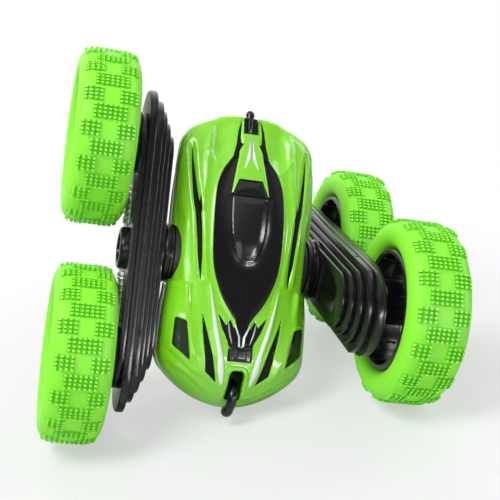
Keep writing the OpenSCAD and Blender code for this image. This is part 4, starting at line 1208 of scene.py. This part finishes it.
def layered(layers, bevel, groove, depth=0.6):
    """Stacked arm outlines with bevelled edges and a groove between neighbours."""
    rings = []

    def add(x, layer, distance):
        _, _, length, height, straight = layer
        ring = arm_ring(length - distance, height - distance, straight)
        rings.append([(x, *p) for p in ring])

    for layer in layers:
        is_last = layer is layers[-1]
        start = layer[0]
        end = layer[1] if is_last else layer[1] - groove
        for x, distance in ((start, bevel), (start + bevel * 0.3, bevel * 0.3),
                            (start + bevel, 0), (end - bevel, 0),
                            (end - bevel * 0.3, bevel * 0.3), (end, bevel)):
            add(x, layer, distance)
        if not is_last:
            add(end, layer, depth)
            add(layer[1], layer, depth)
    return skin(rings)


def arm_hollow(start, end):
    return skin([[(x, *p) for p in arm_ring(*HOLLOW_SIZE[start])] for x in (start, end)])


HOLLOW_SIZE = {43.0: (66.8, 17.6), 44.6: (67, 17.6)}  # start x: half length, half height


def arm_inner_cover():
    """The half of the arm towards the body, with its pivot."""
    cover = join(layered(INNER_LAYERS, bevel=0.25, groove=0.3), lathe(COLLAR, 96),
                 rod(8.4, 30.2, 37.0, sides=72), lathe(SPIGOT, 72),
                 rod(7.6, 26.15, 31.0, sides=64))
    cover = cut(cover, arm_hollow(43.0, 47), rod(PIVOT_SCREW, 25, 60, sides=40))
    for end in (-1, 1):
        bay = plate(rectangle(end * 33 - 7, end * 33 + 7, -11, 11), 38.4, 44.4, 0.2)
        cover = cut(cover, bay, rod(AXLE_HOLE, 38.5, 60, end * AXLE_Y))
    for end in (-1, 1):
        # sunk panel on the face towards the body
        panel = [(end * y, z) for y, z in ((18.0, -8.6), (36.5, -8.6), (44.0, -5.2),
                                           (44.0, 5.2), (36.5, 8.6), (18.0, 8.6))]
        cover = cut(cover, plate(rounded(panel, 1.6), 35.0, 36.5, 0.15))
        cover = join(cover, rod(2.0, 42.9, 48.2, end * 21, sides=40))
    # round marks in the top and bottom edges
    for end in (-1, 1):
        for up in (-1, 1):
            mark = circle(0.9, 44.1, end * 37.5, sides=20)
            cover = cut(cover, prism(mark, up * 18.6, up * 21))
    return cover


def arm_outer_cover():
    """The half of the arm towards the wheels."""
    cover = cut(layered(OUTER_LAYERS, bevel=0.35, groove=0.35), arm_hollow(44.6, 49.0))
    screw_y, screw_z = 35, 14.9
    for end in (-1, 1):
        cover = join(cover, shift(lathe(AXLE_BOSS, 80), (0, end * AXLE_Y, 0)))
        for up in (-1, 1):
            cover = join(cover, rod(2.6, 45.7, 49.3, end * screw_y, up * screw_z, sides=32))
        cover = cut(cover, rod(AXLE_HOLE, 44, 60, end * AXLE_Y))
        for up in (-1, 1):
            cover = cut(cover, rod(1.2, 44, 60, end * screw_y, up * screw_z, sides=24),
                        rod(2.45, 49.85, 60, end * screw_y, up * screw_z, sides=32))
        # sunk bay, with a raised base for the shock
        bay = plate(rounded(rectangle(end * 10.4, end * 35.2, -5.2, 5.2), 1.0), 50.7, 52, 0.15)
        base = plate(rounded(rectangle(end * 11.0, end * 34.6, -3.9, 3.9), 0.5), 50.4, 51.6, 0.1)
        cover = join(cut(cover, bay), base)
        # sunk panels above and below the bay
        for up in (-1, 1):
            panel = [(end * y, up * z) for y, z in ((13, 8.0), (31, 8.0), (28.5, 12.6),
                                                    (13, 12.6))]
            cover = cut(cover, plate(rounded(panel, 0.8), 51.0, 52, 0.1))
    return cut(cover, rod(PIVOT_SCREW, 44, 50.0, sides=40), rod(9.8, 50.5, 60, sides=72))


def hub_cap():
    """The pivot's cap, with six dimples in its rim and a slot in the middle."""
    dimples = [turn(rod(0.75, 54.6, 56, 7.6, 0, sides=16), 60 * i + 30) for i in range(6)]
    slot = plate(rectangle(-2.0, 2.0, -0.35, 0.35), 54.1, 55, 0.05)
    return cut(spindle(HUB_CAP, 96), *dimples, slot)


# cross sections (z, x) of the shock's barrel and of its end plates
SHOCK_CORE = [(-3.4, 51.68), (-3.4, 52.3), (-2.7, 53.0), (-1.4, 53.5), (0, 53.65), (1.4, 53.5),
              (2.7, 53.0), (3.4, 52.3), (3.4, 51.68)]
SHOCK_END = [(-3.6, 51.67), (-3.6, 52.5), (-2.4, 53.8), (0, 54.3), (2.4, 53.8), (3.6, 52.5),
             (3.6, 51.67)]


def shock_coil(end, centre_y):
    """Half a turn of spring over the barrel, slanting along Y."""
    rings = []
    for i in range(23):
        turned = math.pi * i / 22
        sine, cosine = math.sin(turned), math.cos(turned)
        rings.append([(51.75 + 2.05 * sine + 0.62 * a * sine,
                       end * (centre_y + 0.9 * cosine + 0.72 * b),
                       3.55 * cosine + 0.62 * a * cosine * 0.6)
                      for a, b in circle(1.0, sides=8)])
    return skin(rings)


def shock(end):
    """A ribbed barrel lying in its bay; end is the sign of Y."""
    def bar(section, start, stop):
        return skin([[(x, end * y, z) for z, x in section] for y in (start, stop)])

    coils = [shock_coil(end, 13.4 + 2.75 * i) for i in range(8)]
    end_plates = [bar(SHOCK_END, y, y + 1.2) for y in (11.2, 33.2)]
    return join(bar(SHOCK_CORE, 11.6, 34.0), *coils, *end_plates)


# piece, part, material, slot, crease, CAD node it replaces
ARM_PIECES = [
    ("arm_inner", arm_inner_cover(), ARM_BLACK, "arm_black", 38, "arm_inner_cover"),
    ("arm_outer", arm_outer_cover(), ARM_BLACK, "arm_black", 38, "arm_outer_cover"),
    ("arm_cap", hub_cap(), DETAIL_BLACK, "arm_black", 38, "arm_hub_cap"),
    ("shock_springs", merge(shock(-1), shock(1)), SHOCK_SILVER, "shock_silver", 45,
     "shock_trim"),
]
for arm_side in ("right", "left"):
    for arm_name, arm_part, arm_material, arm_slot, arm_crease, replaced in ARM_PIECES:
        piece(f"{arm_side}_{arm_name}", arm_part, arm_material, arm_crease,
              rides=f"{arm_side}_arm", where=arm_side, replaces=[f"{arm_side}_{replaced}"])

# ------------------------------------------------------------------ wheels
# built at the origin, spinning about X; profiles as (x, radius)
WHEEL_X = 68.5
TYRE_PROFILE = spline([(0, 38.85), (4, 38.85), (7.5, 38.8), (9, 38.62), (10.2, 38.22),
                       (11.2, 37.6), (12.1, 36.7), (12.9, 35.4), (13.4, 34.0), (13.65, 32.6),
                       (13.6, 31.2), (13.2, 29.8), (12.5, 28.6), (11.5, 27.7), (10.4, 27.1),
                       (9.2, 26.7), (8.0, 26.5), (6.9, 26.45)], 0.55)
TYRE_INSIDE = [(6.5, 26.6), (6.5, 27.4), (7.6, 29.2), (9.8, 30.2), (11.2, 31.6), (11.4, 33.0),
               (10.6, 35.0), (9.2, 36.4), (7.5, 36.7)]
PIN_PITCH = 2.12  # across the tread
PIN_SPACING = 1.75  # round the tread
PIN_TOP, PIN_FOOT = 0.48, 0.70  # half widths
BLOCKS = 32  # blocks of pins round the tyre
PINS_ROUND = 4  # pins round the tread in a block
DEGREES_PER_MM = math.degrees(1 / 39.4)
CROWN_EDGE = 11.6
PIN_COLUMNS = [(i - 5) * PIN_PITCH for i in range(11)]
# columns that carry pins in even and odd blocks
BLOCK_COLUMNS = ((0, 1, 2, 3, 7, 8, 9, 10), (2, 3, 4, 5, 6, 7, 8))
PIN_EDGES = (-PIN_FOOT, -PIN_TOP, PIN_TOP, PIN_FOOT)


def between_pins(block, x):
    """Whether x on the crown lies in a pinned part of the block."""
    columns = BLOCK_COLUMNS[block % 2]
    if block % 2 == 0 and abs(x) < PIN_COLUMNS[7] - 1:
        return False
    return PIN_COLUMNS[columns[0]] - 1 < x < PIN_COLUMNS[columns[-1]] + 1


def tread_lines():
    """(degrees, block, whether it crosses pin tops) for each line round the tyre."""
    lines = []
    for block in range(BLOCKS):
        lines.append((block * 360.0 / BLOCKS, block, False))
        centre = (block + 0.5) * 360.0 / BLOCKS
        for j in range(PINS_ROUND):
            pin = centre + (j - (PINS_ROUND - 1) / 2) * PIN_SPACING * DEGREES_PER_MM
            lines += [(pin + edge * DEGREES_PER_MM, block, abs(edge) == PIN_TOP)
                      for edge in PIN_EDGES]
    return lines


def studded_tyre():
    """The tyre, its crown a grid that is raised at the pins, and its faces' material slots: painted shade in the
    gaps and on the pin flanks, a painted highlight on the pin tops.
    """
    across = sorted(column + edge for column in PIN_COLUMNS for edge in PIN_EDGES)
    across = np.array([-CROWN_EDGE] + across + [CROWN_EDGE])
    crown = TYRE_PROFILE[:int(np.argmax(TYRE_PROFILE[:, 0] > 12.4)) + 1]

    def radius_at(x):
        return np.interp(x, crown[:, 0], crown[:, 1])

    side = np.abs(across)
    slope = (radius_at(side + 0.3) - radius_at(side - 0.3)) / 0.6
    lean = np.stack([-slope * np.sign(across) * 0.5, np.ones(len(across))], -1)
    lean /= np.linalg.norm(lean, axis=1)[:, None]
    pin_height = 1.15 - 0.1 * (side / 10.6) ** 4

    wall = TYRE_PROFILE[int(np.argmax(TYRE_PROFILE[:, 0] > 11.8)) + 1:]
    wall = np.vstack([wall, TYRE_INSIDE])
    wall = np.vstack([wall, wall[::-1] * (-1, 1)])

    lines = tread_lines()
    raised = np.zeros((len(lines), len(across) + len(wall)), int)
    gaps = np.zeros(raised.shape, bool)
    lines_per_block = 1 + 4 * PINS_ROUND
    rings = []
    for i, (degrees, block, on_pins) in enumerate(lines):
        if on_pins:
            for column in BLOCK_COLUMNS[block % 2]:
                near = np.abs(across - PIN_COLUMNS[column]) < PIN_TOP + 0.01
                raised[i, :len(across)][near] = 1
        # a block's first and last lines border the plain strip between blocks
        if i % lines_per_block not in (0, lines_per_block - 1):
            for j in range(1, len(across) - 1):
                gaps[i, j] = between_pins(block, (across[j] + across[j + 1]) / 2)
        lift = pin_height * raised[i, :len(across)]
        x = np.concatenate([across + lean[:, 0] * lift, wall[:, 0]])
        radius = np.concatenate([radius_at(side) + lean[:, 1] * lift, wall[:, 1]])
        t = math.radians(degrees)
        rings.append(np.stack([x, radius * math.cos(t), radius * math.sin(t)], -1))

    # raised corners of each face: four on a pin's top, fewer on its flanks
    corners = raised + np.roll(raised, -1, axis=1)
    corners = corners + np.roll(corners, -1, axis=0)
    # slot 2 paints a highlight on the pin tops, slot 1 paints shade on the flanks and in the gaps between pins
    slots = np.where(corners == 4, 2, np.where((corners > 0) | gaps, 1, 0))
    return skin(rings, wrap=True), slots.reshape(-1)


# closed profile of (radius, x)
RIM_BARREL = [(24.1, -11.4), (24.4, -11.8), (25.7, -11.8), (26.3, -11.3), (26.3, -10.6),
              (25.9, -10.2), (25.9, 5.7), (26.2, 6.1), (26.2, 6.5), (25.8, 6.8), (25.0, 6.8),
              (24.6, 6.5), (24.2, 5.8), (24.0, 4.8), (24.0, 3.0), (23.6, 1.0), (23.6, -8),
              (24.0, -10.6)]
# open profiles of (radius, x)
RIM_HUB = [(6.5, -12.0), (6.5, 8.0), (8.4, 8.6), (8.4, 9.9), (7.8, 10.9), (6.6, 11.4),
           (5.2, 11.4)]
RIM_DISC = [(11.0, 3.4), (11.4, 4.0), (11.4, 7.2), (10.8, 8.0), (8, 8.9)]
RIM_BOLT = [(0.9, 7.0), (1.25, 7.2), (1.25, 9.3), (1.0, 9.7), (0.5, 9.75)]
SPOKES = 5


def spoke():
    """A spoke along Y, with a groove down its outer face."""
    rings = []
    for t in np.linspace(0, 1, 9):
        radius = 7 + t * 17.6
        face = 8.6 + 2.3 * math.sin(t * math.pi * 0.5) - 4.3 * t ** 2
        half = 3.0 + 1.3 * t ** 2 + 0.8 * (1 - t) ** 2
        back = 3.6 + 0.6 * t
        # (x, z) of the +Z half, from the back to the groove
        section = [(back, half - 0.5), (back + 0.5, half), (face - 0.9, half),
                   (face - 0.25, half - 0.35), (face, half - 1.0), (face - 0.15, half * 0.36),
                   (face - 1.15, half * 0.22)]
        section = section + [(x, -z) for x, z in reversed(section)]
        # the ring starts at the back's -Z corner
        section = section[-1:] + section[:-1]
        rings.append([(x, radius, z) for x, z in section])
    return skin(rings)


def rim():
    wheel = join(spindle(RIM_HUB, 72), spindle(RIM_DISC, 72), lathe(RIM_BARREL, 120))
    pitch = 360 // SPOKES
    wheel = join(wheel, *[turn(spoke(), pitch * i) for i in range(SPOKES)])
    bolt = shift(spindle(RIM_BOLT, 20), (0, 9.6, 0))
    wheel = join(wheel, *[turn(bolt, pitch * i + pitch // 2) for i in range(SPOKES)])
    # stepped bore for the axle
    wheel = cut(wheel, rod(3.02, -13.5, 2), rod(1.2, -1, 20, sides=24), rod(3.4, 9.6, 20))
    # ribs on the inner wall of the barrel
    rib = plate(rectangle(23.0, 24.3, -0.6, 0.6), -11.0, 3.6, 0.2)
    return join(wheel, *[turn(rib, 36 * i + 18) for i in range(10)])


tyre_part, tyre_slots = studded_tyre()
rim_part = rim()
for wheel_side in ("right", "left"):
    for wheel_end, wheel_y in (("front", -AXLE_Y), ("rear", AXLE_Y)):
        wheel_name = f"{wheel_side}_{wheel_end}"
        wheel_place = (WHEEL_X, wheel_y, 0)
        piece(f"{wheel_name}_tread", shift(tyre_part, wheel_place),
              [TYRE, TYRE_SHADE, TYRE_PIN_HIGHLIGHT], 38, rides=f"{wheel_name}_wheel",
              where=wheel_side, replaces=[f"{wheel_name}_tyre"], face_slots=tyre_slots)
        piece(f"{wheel_name}_wheel_rim", shift(rim_part, wheel_place), RIM_BLACK,
              36, rides=f"{wheel_name}_wheel", where=wheel_side,
              replaces=[f"{wheel_name}_rim"])


# ------------------------------------------------------------------ stage, in metres
def floor_material():
    """Pale floor with a painted white glow: to the camera it lightens the cast shadows near the car and fades to
    white away from it; it also glows in reflections.
    """
    material, tree, surface = new_material("floor_pale")
    position = node(tree, "TexCoord").outputs["Object"]
    patches = noise(tree, position, scale=3.0, detail=2.0)
    colour = ramp(tree, patches, (0.0, (0.70, 0.70, 0.70)), (1.0, (0.73, 0.73, 0.73)))
    feed(tree, surface, {"Base Color": colour, "Roughness": 0.35, "Specular IOR Level": 0.35})
    # seen by the camera: a painted white glow, half mixed in near the car to lighten its shadows, growing to
    # full white with distance from the middle
    distance = node(tree, "VectorMath", {0: position}, operation="LENGTH").outputs["Value"]
    fade = node(tree, "MapRange", {"Value": distance, "From Min": 0.10, "From Max": 0.27,
                                   "To Min": 0.50, "To Max": 1.0},
                interpolation_type="SMOOTHSTEP").outputs["Result"]
    rays = node(tree, "LightPath").outputs
    seen = calc(tree, "MULTIPLY", fade, rays["Is Camera Ray"])
    # seen in reflections: the rising back of the sheet
    along = node(tree, "SeparateXYZ", {0: position}).outputs["Y"]
    back = node(tree, "MapRange", {"Value": along, "From Min": 1.15, "From Max": 1.5},
                interpolation_type="SMOOTHSTEP").outputs["Result"]
    mirrored = calc(tree, "MULTIPLY", back, rays["Is Glossy Ray"])
    share = calc(tree, "MAXIMUM", seen, mirrored)
    strength = calc(tree, "MULTIPLY_ADD", mirrored, 0.7, 1.0)
    glow = node(tree, "Emission", {"Color": (1, 1, 1, 1), "Strength": strength})
    mixed = node(tree, "MixShader", {0: share, 1: surface.outputs[0], 2: glow.outputs[0]})
    feed(tree, tree.nodes["Material Output"], {"Surface": mixed.outputs[0]})
    return material


def floor():
    """A sheet that curves up behind the car."""
    half, bend_y, bend_radius, top = 3.0, 0.9, 1.2, 3.5
    material = floor_material()
    profile = [(-half, 0.0), (bend_y, 0.0)]
    for t in np.linspace(0.1, math.pi / 2, 14):
        profile.append((bend_y + bend_radius * math.sin(t), bend_radius * (1 - math.cos(t))))
    profile.append((bend_y + bend_radius, top))
    points = [(x, y, z) for y, z in profile for x in (-half, half)]
    faces = [(2 * i, 2 * i + 1, 2 * i + 3, 2 * i + 2) for i in range(len(profile) - 1)]
    mesh = bpy.data.meshes.new("floor_sheet")
    mesh.from_pydata(points, [], faces)
    mesh.shade_smooth()
    sheet = bpy.data.objects.new("floor_sheet", mesh)
    bpy.context.scene.collection.objects.link(sheet)
    mesh.materials.append(material)
    sheet.location = (0, 0, -0.0002)


def studio_world():
    """White to the camera, a vertical gradient in reflections, grey as light."""
    world = bpy.data.worlds.new("studio")
    bpy.context.scene.world = world
    world.use_nodes = True
    tree = world.node_tree
    direction = node(tree, "TexCoord").outputs["Generated"]
    height = node(tree, "SeparateXYZ", {0: direction}).outputs["Z"]
    gradient = ramp(tree, height, (0.0, (0.06, 0.06, 0.064)), (0.55, (0.10, 0.10, 0.104)),
                    (1.0, (1.0, 1.0, 1.0)), interpolation="EASE")
    rays = node(tree, "LightPath").outputs
    colour = mix(tree, rays["Is Glossy Ray"], (0.42, 0.42, 0.42, 1), gradient)
    colour = mix(tree, rays["Is Camera Ray"], colour, (1, 1, 1, 1))
    feed(tree, tree.nodes["Background"], {"Color": colour, "Strength": 1.0})


def lamp(name, at, target, size, watts, diffuse=True):
    """A rectangular area light aimed at target."""
    light = bpy.data.lights.new(name, "AREA")
    light.shape = "RECTANGLE"
    light.size, light.size_y = size
    light.energy = watts
    item = bpy.data.objects.new(name, light)
    bpy.context.scene.collection.objects.link(item)
    item.location = at
    aim = Vector(target) - Vector(at)
    item.rotation_euler = aim.to_track_quat("-Z", "Y").to_euler()
    item.visible_diffuse = diffuse


def camera():
    data = bpy.data.cameras.new("camera")
    item = bpy.data.objects.new("camera", data)
    bpy.context.scene.collection.objects.link(item)
    data.sensor_width = 36.0
    data.lens = 73.884
    data.clip_start, data.clip_end = 0.01, 20
    right = Vector((0.9714593, -0.1900912, -0.1418878))
    up = Vector((0.1927556, 0.2840016, 0.9392488))
    back = Vector((-0.1382465, -0.9397917, 0.3125372))
    item.matrix_world = placement((right, up, back), (-0.051466, -0.448731, 0.215894))
    bpy.context.scene.camera = item


floor()
studio_world()
CAR = (0, 0, 0.08)
lamp("key_soft", at=(-0.5, -0.35, 0.95), target=CAR, size=(0.5, 0.5), watts=9.5)
lamp("front_strip", at=(-0.25, -1.15, 0.5), target=CAR, size=(0.7, 0.3), watts=1.8)
# the glints show in reflections only
lamp("arm_glint", at=(0.36, -0.84, 0.10), target=(0.05, -0.07, 0.05), size=(0.34, 0.05),
     watts=3.4, diffuse=False)
lamp("canopy_glint", at=(0.74, -0.42, 0.17), target=(0.02, -0.02, 0.08), size=(0.08, 0.42),
     watts=3.4, diffuse=False)
lamp("rim_right", at=(0.75, 0.15, 0.5), target=CAR, size=(0.3, 0.6), watts=1.6)
camera()
bpy.context.scene.view_settings.view_transform = "Standard"
